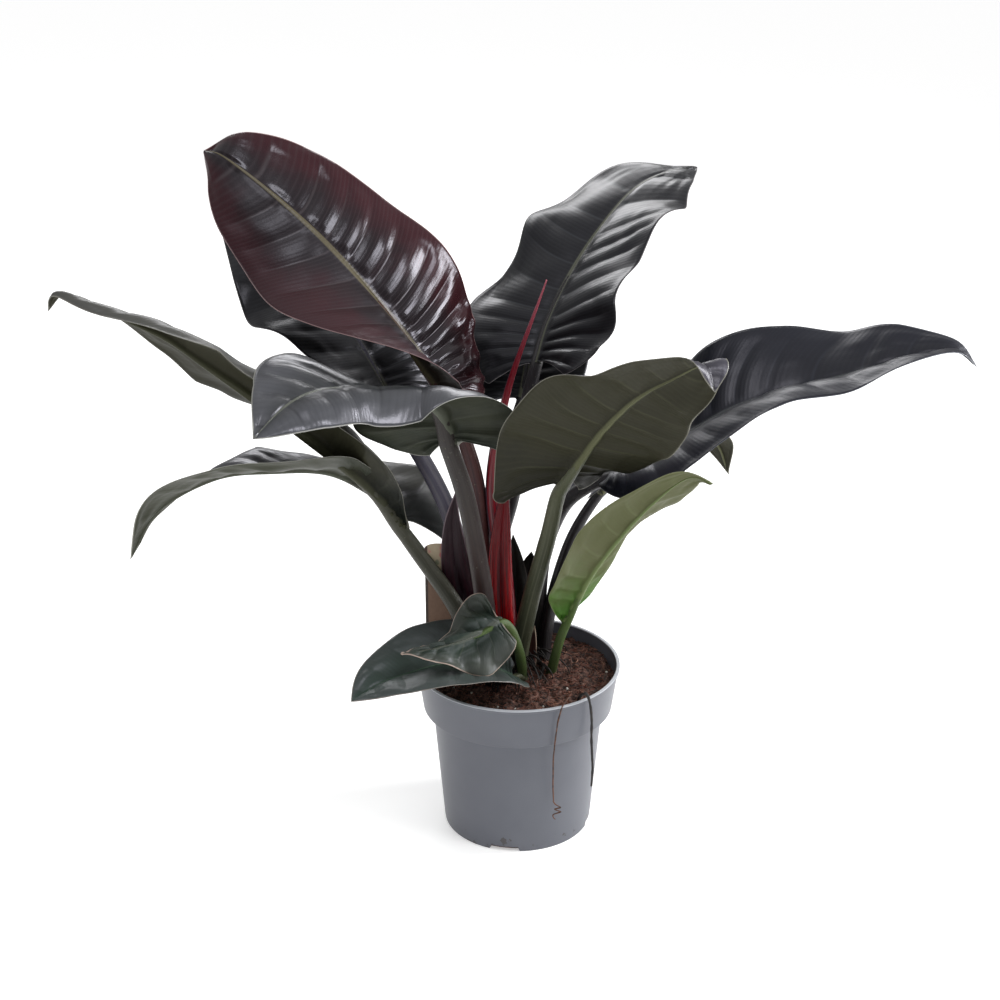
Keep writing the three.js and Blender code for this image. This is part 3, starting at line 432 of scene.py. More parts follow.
# %% The table of leaves
# A station of a midrib: x, y, z, tilt of the left and right half, curl of the left and right
# half. Left and right are those of someone who looks from the stalk to the tip. A positive
# tilt raises a half, and a positive curl turns its margin down.
# half_width is the blade's at its widest. lobe is how far the base reaches back past the
# stalk, as a share of the length, and base_width is the width there, as a share of the
# widest. tip holds the two powers that close the outline. uneven lists width factors from
# base to tip, and quilt scales the puffed panels, each for the left and then the right half.
# wave is the margin's height in mm, its count and its start on either half. grid is how many
# rows and half columns of points the blade has. folds are single creases, see fold_height.
LEAVES = {
    "leaf_tall_left": {
        "half_width": 108, "lobe": 0.07, "base_width": 0.62, "tip": (2.6, 0.95),
        "wave": (4, 3, 0, 1.5), "veins": 13,
        "uneven": ([0.8, 0.85, 1.1, 1.14, 1.04, 0.94, 0.95, 1.06, 1.1],
                   [0.7, 0.98, 1.08, 1.08, 1.02, 0.95, 0.97, 1.1, 1.2]),
        "quilt": (1.3, 2.0), "grid": (210, 44),
        "folds": [
            (9, 0.1, 0.7, 85, 0.35, 0.018), (-8, 0.14, 0.7, 96, 0.3, 0.018),
            (9, 0.18, 0.65, 86, 0.35, 0.018), (8, 0.235, 0.75, 78, 0.3, 0.016),
            (-7, 0.27, 0.7, 92, 0.3, 0.018), (6, 0.31, 0.8, 86, 0.2, 0.016),
        ],
        "midrib": [
            [-81, 25, 532, 40, 0, 20, 40],
            [-143, 50, 611, 12, 25, 20, 30],
            [-206, 80, 678, -35, 28, 20, 30],
            [-266, 115, 726, -55, 25, 20, 20],
            [-334, 160, 767, -60, 35, 20, 10],
            [-364, 195, 768, -60, 35, 20, 10],
        ],
        "stalk": [[-20, 38, 178], [-23, 43, 213], [-37, 46, 316], [-51, 40, 432]],
        "stalk_radius": (11.5, 8),
    },
    "leaf_tall_right": {
        "half_width": 105, "lobe": 0.07, "base_width": 0.6, "tip": (2.6, 0.95),
        "wave": (9, 2.7, 6, 5.3), "veins": 12,
        "uneven": ([0.85, 0.88, 1.05, 1.18, 0.9, 1.06, 1.1, 1.2, 1.1],
                   [1.0, 1.2, 1.25, 1.1, 0.97, 0.95, 1.0, 1.0, 1.0]),
        "quilt": (0.9, 1.5), "grid": (160, 34),
        "midrib": [
            [20, 92, 544, -10, 35, 10, 20],
            [34, 127, 581, -12, 28, 20, 20],
            [62, 177, 625, -8, 25, 30, 20],
            [97, 232, 664, -5, 15, 40, 20],
            [141, 297, 698, -5, 0, 30, 20],
            [186, 342, 711, 0, -10, 20, 20],
            [228, 377, 710, 0, -10, 20, 20],
        ],
        "stalk": [[-20, 62, 178], [-23, 64, 206], [-25, 68, 306], [-4, 80, 392], [6, 87, 476]],
        "stalk_radius": (10, 7),
    },
    "leaf_behind_left": {
        "half_width": 95, "lobe": 0.08, "base_width": 0.5, "tip": (2.1, 1.1),
        "wave": (8, 3, 1, 0), "veins": 12, "uneven": ([0.9, 0.88, 0.88, 1.0, 0.94, 1.0], [1, 1]),
        "midrib": [
            [-152, 100, 503, 25, 10, 20, 20],
            [-196, 135, 570, 0, 5, 20, 20],
            [-249, 180, 613, -25, 10, 20, 20],
            [-305, 235, 645, -30, 10, 20, 20],
            [-368, 295, 672, -30, 10, 20, 20],
        ],
        "stalk": [[-40, 58, 178], [-48, 62, 205], [-80, 58, 367], [-133, 75, 471]],
        "stalk_radius": (12, 8),
    },
    "leaf_far_left": {
        "half_width": 92, "lobe": 0.18, "left_lobe": 0.02, "base_width": 0.55,
        "tip": (2.1, 1.1), "veins": 12,
        "uneven": ([0.1, 0.26, 0.85, 1.0, 1.0, 1.0, 1.0], [0.75, 1.15, 1.0, 1.0, 1.0, 1.0, 1.0]),
        "midrib": [
            [-136, 50, 362, 20, 52, 40, 20],
            [-168, 35, 413, 20, 5, 40, 20],
            [-235, 12, 481, 31, -5, 100, 20],
            [-299, -5, 540, 30, -25, 120, 20],
            [-342, -5, 573, 38, -42, 80, 20],
            [-387, 0, 604, 25, -42, 110, 20],
            [-446, 5, 630, 10, -30, 110, 20],
            [-501, 20, 648, 0, -25, 80, 20],
            [-520, 28, 624, 10, -25, 40, 20],
        ],
        "stalk": [[-44, 26, 178], [-53, 22, 223], [-77, 20, 276], [-117, 40, 329]],
        "stalk_radius": (12.5, 9),
    },
    "leaf_front_left": {
        "half_width": 92, "lobe": 0.06, "base_width": 0.65, "tip": (2.5, 0.95), "veins": 10,
        "uneven": ([0.85, 0.88, 1.0, 1.0, 1.0, 1.0, 0.9], [0.6, 1.1, 1.3, 1.25, 1.05, 0.85, 0.6]),
        "quilt": (1.2, 2.4),
        "midrib": [
            [-73, -50, 501, 30, -30, 10, 10],
            [-91, -63, 550, 25, -32, 50, 10],
            [-139, -80, 569, -5, -12, 90, 10],
            [-198, -120, 584, -15, 12, 90, 10],
            [-233, -175, 588, -20, 15, 60, 10],
            [-264, -230, 571, -30, 20, 40, 10],
        ],
        "stalk": [[-26, 12, 178], [-33, -2, 234], [-44, -16, 331], [-59, -33, 427]],
        "stalk_radius": (12, 10),
    },
    "leaf_low_left": {
        "half_width": 65, "lobe": 0.03, "base_width": 0.25, "tip": (2.1, 1.1), "veins": 12,
        "uneven": ([0.4, 0.8, 1.0, 1.0, 1.5, 1.6], [0.4, 0.8, 1.0, 0.9, 0.5, 0.4]),
        "midrib": [
            [-160, 75, 387, 30, 0, -20, 20],
            [-217, 45, 428, 30, 0, -30, 20],
            [-277, 0, 447, 28, 5, -30, 20],
            [-340, -15, 444, 30, -10, -20, 20],
            [-404, -30, 410, 45, -40, -10, 10],
            [-436, -45, 357, 60, -60, 0, 10],
        ],
        "stalk": [[-56, 48, 178], [-66, 52, 215], [-92, 60, 273], [-130, 72, 333]],
        "stalk_radius": (9, 5.5),
    },
    "leaf_front_right": {
        "half_width": 93, "lobe": 0.12, "base_width": 0.6, "tip": (2.4, 1.0), "veins": 11,
        "wave": (7, 3, 2.5, 4.5),
        "uneven": ([0.7, 0.75, 0.64, 0.78, 0.84, 0.85, 1.5], [1.0, 1.0, 1.0, 1.1, 1.02, 1.05, 1.0]),
        "quilt": (1.6, 1.4),
        "midrib": [
            [47, -50, 453, 0, 5, 20, 10],
            [68, -90, 501, -34, 20, 20, 10],
            [88, -125, 545, -46, 28, 20, 10],
            [118, -170, 594, -56, 28, 20, 20],
            [152, -215, 631, -62, 25, 20, 20],
            [175, -240, 650, 0, 25, 20, 20],
            [185, -255, 628, 15, 25, 20, 20],
        ],
        "stalk": [[0, 18, 178], [3, 10, 220], [17, -6, 299], [33, -22, 372], [42, -38, 426]],
        "stalk_radius": (11.5, 7.5),
    },
    "leaf_far_right": {
        "half_width": 98, "lobe": 0.05, "base_width": 0.6, "tip": (2.4, 1.0), "veins": 12,
        "uneven": ([1.0, 1.0, 1.0], [0.3, 0.9, 1.14, 1.0, 1.0, 1.0]),
        "midrib": [
            [112, 2, 446, 10, -15, 10, 60],
            [179, -10, 488, 20, -3, 10, 50],
            [237, -20, 528, 38, 2, 10, 50],
            [298, -30, 553, 35, 10, 10, 50],
            [357, -40, 574, 22, 5, 10, 40],
            [412, -50, 595, 30, 12, 10, 40],
            [460, -60, 608, 15, 12, 10, 30],
            [486, -65, 591, 15, 12, 10, 30],
        ],
        "stalk": [[20, 60, 178], [23, 62, 227], [29, 49, 319], [50, 24, 392], [82, 12, 426]],
        "stalk_radius": (11, 8.5),
    },
    "leaf_low_right": {
        "half_width": 56, "lobe": 0.03, "base_width": 0.2, "widest_at": 0.4, "quilt": (1.5, 1.5),
        "tip": (2.3, 1.0), "veins": 9,
        "uneven": ([1.0, 1.0, 1.0, 1.0, 1.15, 1.1], [0.2, 0.6, 0.95, 1.0, 1.0, 1.0]),
        "midrib": [
            [57, -10, 268, 25, 10, 20, 20],
            [80, -45, 338, 15, 5, 20, 20],
            [111, -75, 399, 5, 28, 20, 20],
            [142, -100, 448, -20, 35, 20, 20],
            [177, -120, 486, -40, 40, 20, 20],
            [203, -135, 485, -40, 40, 20, 20],
        ],
        "stalk": [[36, 4, 176], [39, 0, 189], [45, -5, 220], [51, -8, 245]],
        "stalk_radius": (6, 5),
    },
    "leaf_behind_right": {
        "half_width": 60, "lobe": 0.1, "base_width": 0.5, "tip": (2.3, 1.2), "veins": 10,
        "uneven": ([1.0, 1.0, 0.9, 0.75], [1.0, 1.0, 0.9, 0.75]),
        "midrib": [
            [95, 90, 384, 20, 40, 20, 20],
            [146, 120, 416, 10, 40, 20, 20],
            [198, 150, 430, 0, 35, 20, 20],
            [240, 175, 418, -20, 20, 20, 20],
            [263, 190, 366, -40, 30, 20, 20],
        ],
        "stalk": [[33, 34, 178], [33, 44, 211], [44, 55, 272], [65, 72, 334]],
        "stalk_radius": (8.5, 6),
    },
    "leaf_behind_centre": {
        "half_width": 76, "lobe": 0.1, "base_width": 0.6, "tip": (2.1, 1.1), "veins": 11,
        "uneven": ([1.1, 1.05, 1.0, 1.05, 1.3, 1.5], [1.1, 1.0, 1.0, 1.0]),
        "midrib": [
            [5, 120, 491, 5, 10, 20, 20],
            [12, 165, 521, 5, 10, 20, 20],
            [18, 215, 552, 5, 10, 20, 20],
            [24, 275, 572, 5, 10, 20, 20],
            [30, 330, 576, 5, 10, 20, 20],
        ],
        "stalk": [[-18, 82, 178], [-19, 84, 299], [-11, 100, 395], [-2, 114, 460]],
        "stalk_radius": (9, 7),
    },
    "leaf_pot_edge": {
        "half_width": 61, "lobe": 0.03, "base_width": 0.3, "tip": (2.6, 0.95), "veins": 9,
        "uneven": ([1.0, 1.12, 1.12, 1.05, 1.0], [1.0, 1.0, 1.0, 0.94, 0.94, 1.0]),
        "midrib": [
            [-7, -30, 202, 5, 30, 20, 10],
            [-44, -50, 228, 5, 32, 20, 10],
            [-87, -75, 240, 5, 32, 20, 10],
            [-121, -100, 243, 5, 30, 20, 10],
            [-156, -125, 242, 0, 25, 20, 10],
            [-184, -150, 234, 0, 20, 20, 10],
        ],
        "stalk": [[14, -8, 176], [8, -15, 190], [1, -22, 198]],
        "stalk_radius": (5, 4),
    },
    "leaf_small_front": {
        "half_width": 40, "lobe": 0.02, "base_width": 0.7, "tip": (2.1, 1.1), "veins": 8,
        "uneven": ([1.0, 1.05, 1.2, 0.8, 0.55, 0.6], [1.1, 1.15, 0.9, 0.62, 0.6, 0.7]),
        "quilt": (1.2, 1.2), "wave": (5, 3.5, 1, 3),
        "folds": [
            (9, 0.35, 0.3, 62, 0.4, 0.09), (-8, 0.5, -0.35, 112, 0.4, 0.1),
            (7, 0.2, -0.5, 80, 0.4, 0.07), (-7, 0.22, 0.55, 70, 0.4, 0.08),
            (6, 0.62, 0.2, 50, 0.4, 0.07),
        ],
        "midrib": [
            [-22, -72, 295, -50, 50, 0, 0],
            [-44, -87, 286, -65, 35, 0, 0],
            [-66, -102, 283, -65, 0, 0, 0],
            [-97, -117, 281, -30, -10, 0, 0],
            [-130, -127, 281, -10, -10, 0, 0],
        ],
        "stalk": [[6, -8, 176], [5, -15, 193], [2, -26, 229], [-9, -47, 271]],
        "stalk_radius": (6.5, 5),
    },
}
print("leaves", len(LEAVES))

# %% [markdown]
# The outline starts at the base lobes as a quarter of an ellipse, reaches its full width a
# third of the way along, and then closes to the tip along a power curve. Width is the only
# thing that it decides; where the points go in space is the next step's work.

# %% Outline and midrib
WIDEST_AT = 0.32
VEIN_SWEEP = 1.7
VEIN_SPACING = 1.9
SAMPLES = 400


def outline(leaf, tau):
    """How far along the blade and how wide, as shares, the margin is at tau from 0 to 1: a
    quarter of an ellipse from the base to the widest place, then (1 - s^p)^q to the tip."""
    widest = leaf.get("widest_at", WIDEST_AT)
    quarter = np.pi / 2 * widest
    turn = quarter / (quarter + 1 - widest)
    angle = np.pi / 2 * np.minimum(tau / turn, 1)
    to_tip = np.clip((tau - turn) / (1 - turn), 0, 1)
    power, fullness = leaf["tip"]
    base = leaf["base_width"]
    along = np.where(tau < turn, widest * (1 - np.cos(angle)), widest + (1 - widest) * to_tip)
    closing = (1 - to_tip**power) ** fullness
    width = np.where(tau < turn, base + (1 - base) * np.sin(angle), closing)
    return along, width


def midrib_table(leaf):
    """The midrib at even steps of its parameter: distance, and then point, direction, left,
    rise and the four angles. left = facing x direction and rise = direction x left, where
    facing is straight up unless the leaf says otherwise."""
    t = np.linspace(0, 1, SAMPLES)
    rows = smooth_rows(leaf["midrib"], t)
    point = rows[:, :3]
    lengths = np.linalg.norm(np.diff(point, axis=0), axis=1)
    distance = np.concatenate([[0], np.cumsum(lengths)])
    along = unit(np.gradient(point, axis=0))
    left = unit(np.cross(np.asarray(leaf.get("facing", (0, 0, 1)), float), along))
    rise = np.cross(along, left)
    return distance, np.hstack([point, along, left, rise, np.radians(rows[:, 3:])])


def at_distance(table, wanted):
    """The midrib table's columns at any distances, by straight lines between its steps."""
    distance, columns = table
    found = [np.interp(wanted, distance, column) for column in columns.T]
    return np.stack(found, -1)


def local_width(leaf, length, distance):
    """Half-width of the blade straight across the midrib at a distance along it."""
    lobe = leaf["lobe"] * length
    tau = np.linspace(0, 1, SAMPLES)
    along, width = outline(leaf, tau)
    return leaf["half_width"] * np.interp((distance + lobe) / (length + lobe), along, width)


def unevenness(leaf, tau, side):
    """A width factor along each half, smooth through its short list from base to tip."""
    left, right = leaf.get("uneven", ([1, 1], [1, 1]))
    left = smooth_rows(np.transpose([left]), tau)[..., 0]
    right = smooth_rows(np.transpose([right]), tau)[..., 0]
    return np.where(side > 0, right, left)


def ribs_and_margin(leaf, length, tau, across, side):
    """Distance along the midrib of each grid point: veins start at tau^VEIN_SPACING of the
    midrib and sweep to the margin's own place as across^VEIN_SWEEP."""
    along, width = outline(leaf, tau)
    width = width * unevenness(leaf, tau, side)
    lobe = length * np.where(side > 0, leaf["lobe"], leaf.get("left_lobe", leaf["lobe"]))
    start = length * tau**VEIN_SPACING
    end = (length + lobe) * along - lobe
    return start + (end - start) * across**VEIN_SWEEP, leaf["half_width"] * width * across


table = midrib_table(LEAVES["leaf_tall_left"])
print("tall left blade is", round(table[0][-1]), "mm long")

# %% [markdown]
# Each half of the blade is bent to an arc across its width, as a strip of paper held at one
# edge. On top of that come three reliefs: slow waves of the margin, the puffed panels
# between the side veins, and folds that belong to one leaf only, where it was crushed as it
# unrolled. Bump maps could fake the panels, but they would vanish at the outline and in the
# glossy streaks that make this plant what it is, so all three are real geometry.

# %% Blade surface
QUILT = 2.3
PANEL_ROUNDNESS, PANEL_LEVEL = 0.8, 0.6
BUCKLE = 2.2
STRAIGHT = 1e-3


def vein_phase(leaf, tau, side, seed):
    """A number that grows by 1 from one side vein to the next: veins tau, plus two sines
    that make the spacing uneven. The right half's veins start half a panel later."""
    wobble = 0.3 * np.sin(7 * tau + seed) + 0.18 * np.sin(17 * tau + 2 * seed + side)
    return leaf["veins"] * tau + wobble + 0.5 * side


def blade_middle(leaf, tau, s, seed):
    """Points of the blade's middle surface. s runs from -1 at the left margin to 1 at the
    right one. A half is an arc of angle curl: at a share of its width,
    reach = width / curl (sin(curl / 2) - sin(curl (1/2 - share))) goes out from the midrib and
    lift = width / curl (cos(curl (1/2 - share)) - cos(curl / 2)) rises above the tilted line.
    Waves, panels |sin(pi phase)|, buckles and folds are added to the lift."""
    across = np.abs(s)
    side = (s > 0).astype(float)
    table = midrib_table(leaf)
    length = table[0][-1]
    distance, outward = ribs_and_margin(leaf, length, tau, across, side)
    local = np.maximum(local_width(leaf, length, distance), np.maximum(outward, 1e-6))
    share = outward / local
    row = at_distance(table, np.clip(distance, 0, length))
    point, along, left, rise = (row[..., 3 * k:3 * k + 3] for k in range(4))
    tilt = np.where(side > 0, row[..., 13], row[..., 12])[..., None]
    curl = np.where(side > 0, row[..., 15], row[..., 14])
    curl = np.where(np.abs(curl) < STRAIGHT, STRAIGHT, curl)
    sign = np.where(side > 0, -1, 1)[..., None]
    out = left * sign * np.cos(tilt) + rise * np.sin(tilt)
    normal = unit(np.cross(along, out) * sign)
    reach = local / curl * (np.sin(curl / 2) - np.sin(curl * (0.5 - share)))
    lift = local / curl * (np.cos(curl * (0.5 - share)) - np.cos(curl / 2))
    beyond = np.minimum(distance, 0) + np.maximum(distance - length, 0)
    share_along = distance / length
    lift = lift + margin_wave(leaf, share_along, share, side)
    phase = vein_phase(leaf, tau, side, seed)
    panel = np.abs(np.sin(np.pi * phase)) ** PANEL_ROUNDNESS - PANEL_LEVEL
    quiet = step(0.03, 0.16, across) * (1 - step(0.7, 1.0, across)) * step(0, 0.06, tau)
    left_quilt, right_quilt = leaf.get("quilt", (1, 1))
    lift = lift + QUILT * np.where(side > 0, right_quilt, left_quilt) * panel * quiet
    buckle = rough(5 * tau + 11, 2.2 * s + 9, seed, 3) * step(0.1, 0.9, across)
    lift = lift + BUCKLE * leaf.get("buckle", 1) * buckle * (1 - step(0.9, 1, tau))
    for fold in leaf.get("folds", []):
        lift = lift + fold_height(tau, s, *fold)
    place = point + along * beyond[..., None] + out * reach[..., None]
    return place + normal * lift[..., None], phase, outward, share_along


def margin_wave(leaf, along, share, side):
    """A slow wave, height share^2 sin(2 pi count along + start), which fades at both ends."""
    height, count, left, right = leaf.get("wave", (0, 0, 0, 0))
    fade = np.clip(4 * along + 0.4, 0, 1) * np.clip(3 * (1 - along), 0, 1)
    turn = 2 * np.pi * count * along + np.where(side > 0, right, left)
    return height * fade * share**2 * np.sin(turn)


def fold_height(tau, s, height, tau_at, s_at, angle, length, breadth):
    """One crease: a ridge of that height on a line through (tau_at, s_at) at that angle,
    height exp(-(run / length)^2 - (off / breadth)^2)."""
    angle = np.radians(angle)
    x, y = tau - tau_at, s - s_at
    run = x * np.cos(angle) + y * np.sin(angle)
    off = y * np.cos(angle) - x * np.sin(angle)
    return height * np.exp(-((run / length) ** 2) - (off / breadth) ** 2)


print("blade surface ready")

# %% [markdown]
# The middle surface gets two faces, about half a millimetre above and below it. The lower drops
# round the midrib, which is a thick rib on the underside, and the upper one rises there a
# little. Solidify would give an even wall, but not the rib, so both faces are worked out
# and joined along the margin, with the tip as one shared pole.

# %% Blade mesh
FAR = 1e3
BLADE_HALF_THICKNESS = 0.45
MARGIN_THINNING = 0.45
RIB_DROP = 1.15
RIB_RAISE = 0.16
RIB_REACH = 1.35
RIB_TAPER = 0.8
BLADE_ROWS = 120
BLADE_HALF_COLUMNS = 30
ROWS_TO_BASE, COLUMNS_TO_RIB = 1.05, 1.35


def rib_radius(leaf, along):
    """The midrib's radius: join (1 - along)^RIB_TAPER. A sheath has no stalk, so no rib."""
    join = leaf.get("stalk_radius", (0, 0))[1]
    return join * np.clip(1 - along, 0.02, 1) ** RIB_TAPER


def both(grid, tip):
    """A grid's numbers and the tip's, once for the upper face and once for the lower."""
    return np.tile(np.append(grid.ravel(), tip), 2)


def blade_arrays(leaf, seed, rows, half_columns):
    """Points, faces and values of a closed blade: the grid's upper face, its lower face, the
    strip between them round the margin, and a pole for each at the tip."""
    tau = np.linspace(0, 1, rows + 1)[:-1] ** ROWS_TO_BASE
    share = np.linspace(0, 1, half_columns + 1) ** COLUMNS_TO_RIB
    s = np.concatenate([-share[:0:-1], share])
    tau, s = np.meshgrid(tau, s, indexing="ij")
    middle, phase, outward, along = blade_middle(leaf, tau, s, seed)
    tip = blade_middle(leaf, np.array([1.0]), np.array([0.0]), seed)[0]
    padded = np.concatenate([middle, np.broadcast_to(tip, (1, *middle.shape[1:]))])
    normal = np.cross(np.gradient(padded, axis=1)[:-1], np.gradient(padded, axis=0)[:-1])
    normal = unit(normal)
    radius = rib_radius(leaf, along)
    off = outward / np.maximum(radius, 0.3)
    bell = (1 + np.cos(np.pi * np.clip(off / RIB_REACH, 0, 1))) / 2
    half = BLADE_HALF_THICKNESS * (1 - MARGIN_THINNING * step(0.9, 1, np.abs(s)))
    upper = middle + normal * (half + RIB_RAISE * radius * bell)[..., None]
    lower = middle - normal * (half + RIB_DROP * radius * bell)[..., None]
    columns = s.shape[1]
    count = rows * columns + 1
    tip_half = BLADE_HALF_THICKNESS / 2 * normal[-1, half_columns]
    points = np.vstack([upper.reshape(-1, 3), tip + tip_half, lower.reshape(-1, 3), tip - tip_half])
    faces = grid_faces(rows, columns)
    last = np.arange(columns) + (rows - 1) * columns
    faces += fan(last, count - 1)
    faces += [[n + count for n in face[::-1]] for face in faces]
    rim = np.concatenate([
        np.arange(rows)[::-1] * columns, np.arange(1, columns),
        np.arange(1, rows) * columns + columns - 1, [count - 1],
    ])
    ahead = np.roll(rim, -1)
    faces += np.stack([rim, rim + count, ahead + count, ahead], -1).tolist()
    width = outward / np.maximum(np.abs(s), 1e-3)
    from_margin = width * (1 - np.abs(s))
    from_base = np.linalg.norm(middle - middle[:1], axis=-1) + FAR * (np.abs(s) < 0.12)
    from_margin = np.minimum(from_margin, from_base)
    values = {
        "under": np.repeat([0.0, 1.0], count),
        "vein": both(phase, phase[-1, half_columns]),
        "rib": both(np.minimum(off, 4), 0),
        "margin": both(from_margin, 0),
    }
    uv = np.stack([both((s + 1) / 2, 0.5), both(tau, 1)], -1)
    return points, faces, values, uv


points, faces, values, uv = blade_arrays(LEAVES["leaf_tall_left"], 1, 20, 6)
print("a coarse blade has", len(points), "points and", len(faces), "faces")

# %% [markdown]
# A stalk is a tube with a shallow groove on the side that faces the crown. It runs on under
# the blade for a short way and sinks into the rib, so that the two read as one growth.

# %% Stalk mesh
STALK_DROP = 0.6
RUNOUT, RUNOUT_THINNING = 0.3, 0.55
FOOT_FLARE, FLARE_REACH = 0.14, 0.08
GROOVE_DEPTH, GROOVE_ANGLE = 0.2, 0.42
SHOULDER_HEIGHT, SHOULDER_AT, SHOULDER_ANGLE = 0.06, 0.95, 0.35
STALK_SIDES = 28
STALK_RINGS = 72
RUNOUT_RINGS = 14


def rib_line(leaf, share):
    """Centres under the midrib at shares of its length, midrib - rise STALK_DROP radius, and
    the radius there; both shrink along the runout."""
    table = midrib_table(leaf)
    row = at_distance(table, share * table[0][-1])
    rise = row[:, 9:12]
    radius = leaf["stalk_radius"][1] * (1 - share / RUNOUT * RUNOUT_THINNING)
    depth = STALK_DROP * radius * (1 - 0.5 * share / RUNOUT)
    return row[:, :3] - rise * depth[:, None], radius


def stalk_section(angle):
    """A round section with a shallow groove where the angle is 0 and a soft shoulder on each
    side of it, each a bell height exp(-((angle - place) / width)^2)."""
    folded = np.minimum(angle, 2 * np.pi - angle)
    groove = GROOVE_DEPTH * np.exp(-((folded / GROOVE_ANGLE) ** 2))
    shoulder = SHOULDER_HEIGHT * np.exp(-(((folded - SHOULDER_AT) / SHOULDER_ANGLE) ** 2))
    return 1 - groove + shoulder


def stalk_arrays(leaf):
    """A tube through the stalk's points to the blade's base, then on under the midrib."""
    joins, _ = rib_line(leaf, np.array([0, 0.15]))
    path = np.vstack([leaf["stalk"], joins])
    join_at = len(leaf["stalk"]) / (len(path) - 1)
    share = np.linspace(0, 1, STALK_RINGS)
    foot, join = leaf["stalk_radius"]
    flare = FOOT_FLARE * np.exp(-share / FLARE_REACH)
    radius = (foot + (join - foot) * share) * (1 + flare)
    centres = smooth_rows(path, share * join_at)
    under, under_radius = rib_line(leaf, np.linspace(0, RUNOUT, RUNOUT_RINGS)[1:])
    facing = midrib_table(leaf)[1][0, 9:12]
    centres = np.vstack([centres, under])
    radius = np.concatenate([radius, under_radius])
    points, faces = tube_arrays(centres, radius, STALK_SIDES, facing, stalk_section)
    return points, faces, tube_uv(len(centres), STALK_SIDES)


print("stalk faces", len(stalk_arrays(LEAVES["leaf_tall_left"])[1]))

# %% [markdown]
# The finish of a blade follows the surface: the mesh carries the place across the vein
# panels, the distance from the rib and from the margin, and which face is up. Photographs
# of this plant show wine red to black tops with grooved veins, olive undersides, a pale
# rib and a thin pale margin, so each of those is one mix in the chain.

# %% Leaf finish
# top and outer are the upper face's colours in the middle and near the margin, line its
# veins. under and deep are the lower face's, deep near the stalk. gloss is the roughness.
# dull_left adds to it on the left half. The darker foot's key is how far the deep colour covers the
# blade's base, as a share of its length: painted shade on a base that lies in shade.
TOP_SHINE, UNDER_SHINE = 0.5, 0.12
TOP_TINT = (0.9, 0.89, 1.0, 1)
CLOUD_IN_GLOSS = 0.16
LOOKS = {
    "wine": {
        "top": srgb(36, 28, 31), "outer": srgb(62, 22, 28), "line": srgb(84, 76, 78),
        "under": srgb(70, 62, 52), "deep": srgb(48, 40, 36), "rib": srgb(112, 104, 78),
        "edge": srgb(196, 160, 160), "gloss": 0.23, "dull_left": 0.16,
    },
    "black": {
        "top": srgb(15, 16, 19), "outer": srgb(12, 13, 16), "line": srgb(62, 66, 70),
        "under": srgb(66, 66, 52), "deep": srgb(44, 48, 42), "rib": srgb(96, 98, 82),
        "edge": srgb(120, 116, 116), "gloss": 0.34,
    },
    "ink": {
        "top": srgb(22, 24, 32), "outer": srgb(26, 28, 38), "line": srgb(44, 48, 58),
        "under": srgb(58, 60, 50), "deep": srgb(40, 44, 40), "rib": srgb(84, 88, 88),
        "edge": srgb(120, 124, 132), "gloss": 0.36,
    },
    "grey": {
        "top": srgb(48, 51, 52), "outer": srgb(76, 78, 82), "line": srgb(16, 18, 20),
        "under": srgb(78, 80, 66), "deep": srgb(48, 54, 44), "rib": srgb(104, 108, 94),
        "edge": srgb(196, 196, 186), "gloss": 0.3, "shine": 1.0,
    },
    "olive": {
        "top": srgb(58, 56, 64), "outer": srgb(70, 68, 78), "line": srgb(104, 102, 108),
        "under": srgb(60, 59, 44), "deep": srgb(40, 40, 31), "rib": srgb(112, 114, 84),
        "edge": srgb(150, 148, 134), "gloss": 0.4,
    },
    "shaded_olive": {
        "top": srgb(78, 77, 72), "outer": srgb(86, 86, 80), "line": srgb(104, 104, 98),
        "under": srgb(66, 65, 50), "deep": srgb(30, 34, 28), "rib": srgb(76, 77, 58),
        "edge": srgb(150, 148, 136), "gloss": 0.4, "shaded_foot": 0.3,
    },
    # The green look's underside colours, most of all the bright deep one near the stalk, are its own green
    # together with painted light that shines through the thin blade.
    "green": {
        "top": srgb(92, 108, 72), "outer": srgb(104, 116, 82), "line": srgb(126, 140, 98),
        "under": srgb(104, 107, 72), "deep": srgb(86, 136, 52), "rib": srgb(124, 140, 90),
        "edge": srgb(146, 150, 112), "gloss": 0.42,
    },
    "dark_green": {
        "top": srgb(70, 86, 78), "outer": srgb(84, 92, 90), "line": srgb(62, 76, 66),
        "under": srgb(70, 78, 62), "deep": srgb(52, 60, 46), "rib": srgb(74, 104, 78),
        "edge": srgb(160, 150, 140), "gloss": 0.4,
    },
    "young_grey": {
        "top": srgb(46, 62, 50), "outer": srgb(78, 84, 74), "line": srgb(92, 98, 84),
        "under": srgb(96, 98, 84), "deep": srgb(58, 66, 50), "rib": srgb(84, 92, 78),
        "edge": srgb(226, 200, 184), "gloss": 0.46,
    },
}
LEAF_LOOKS = {
    "leaf_tall_left": ("wine", "leaf_wine"), "leaf_tall_right": ("black", "leaf_black"),
    "leaf_behind_left": ("black", "leaf_black"), "leaf_far_left": ("shaded_olive", "leaf_olive"),
    "leaf_front_left": ("grey", "leaf_grey"), "leaf_low_left": ("grey", "leaf_grey"),
    "leaf_front_right": ("olive", "leaf_olive"), "leaf_far_right": ("ink", "leaf_black"),
    "leaf_low_right": ("green", "leaf_green"), "leaf_behind_right": ("olive", "leaf_olive"),
    "leaf_behind_centre": ("black", "leaf_black"), "leaf_pot_edge": ("dark_green", "leaf_green"),
    "leaf_small_front": ("young_grey", "leaf_grey"),
}


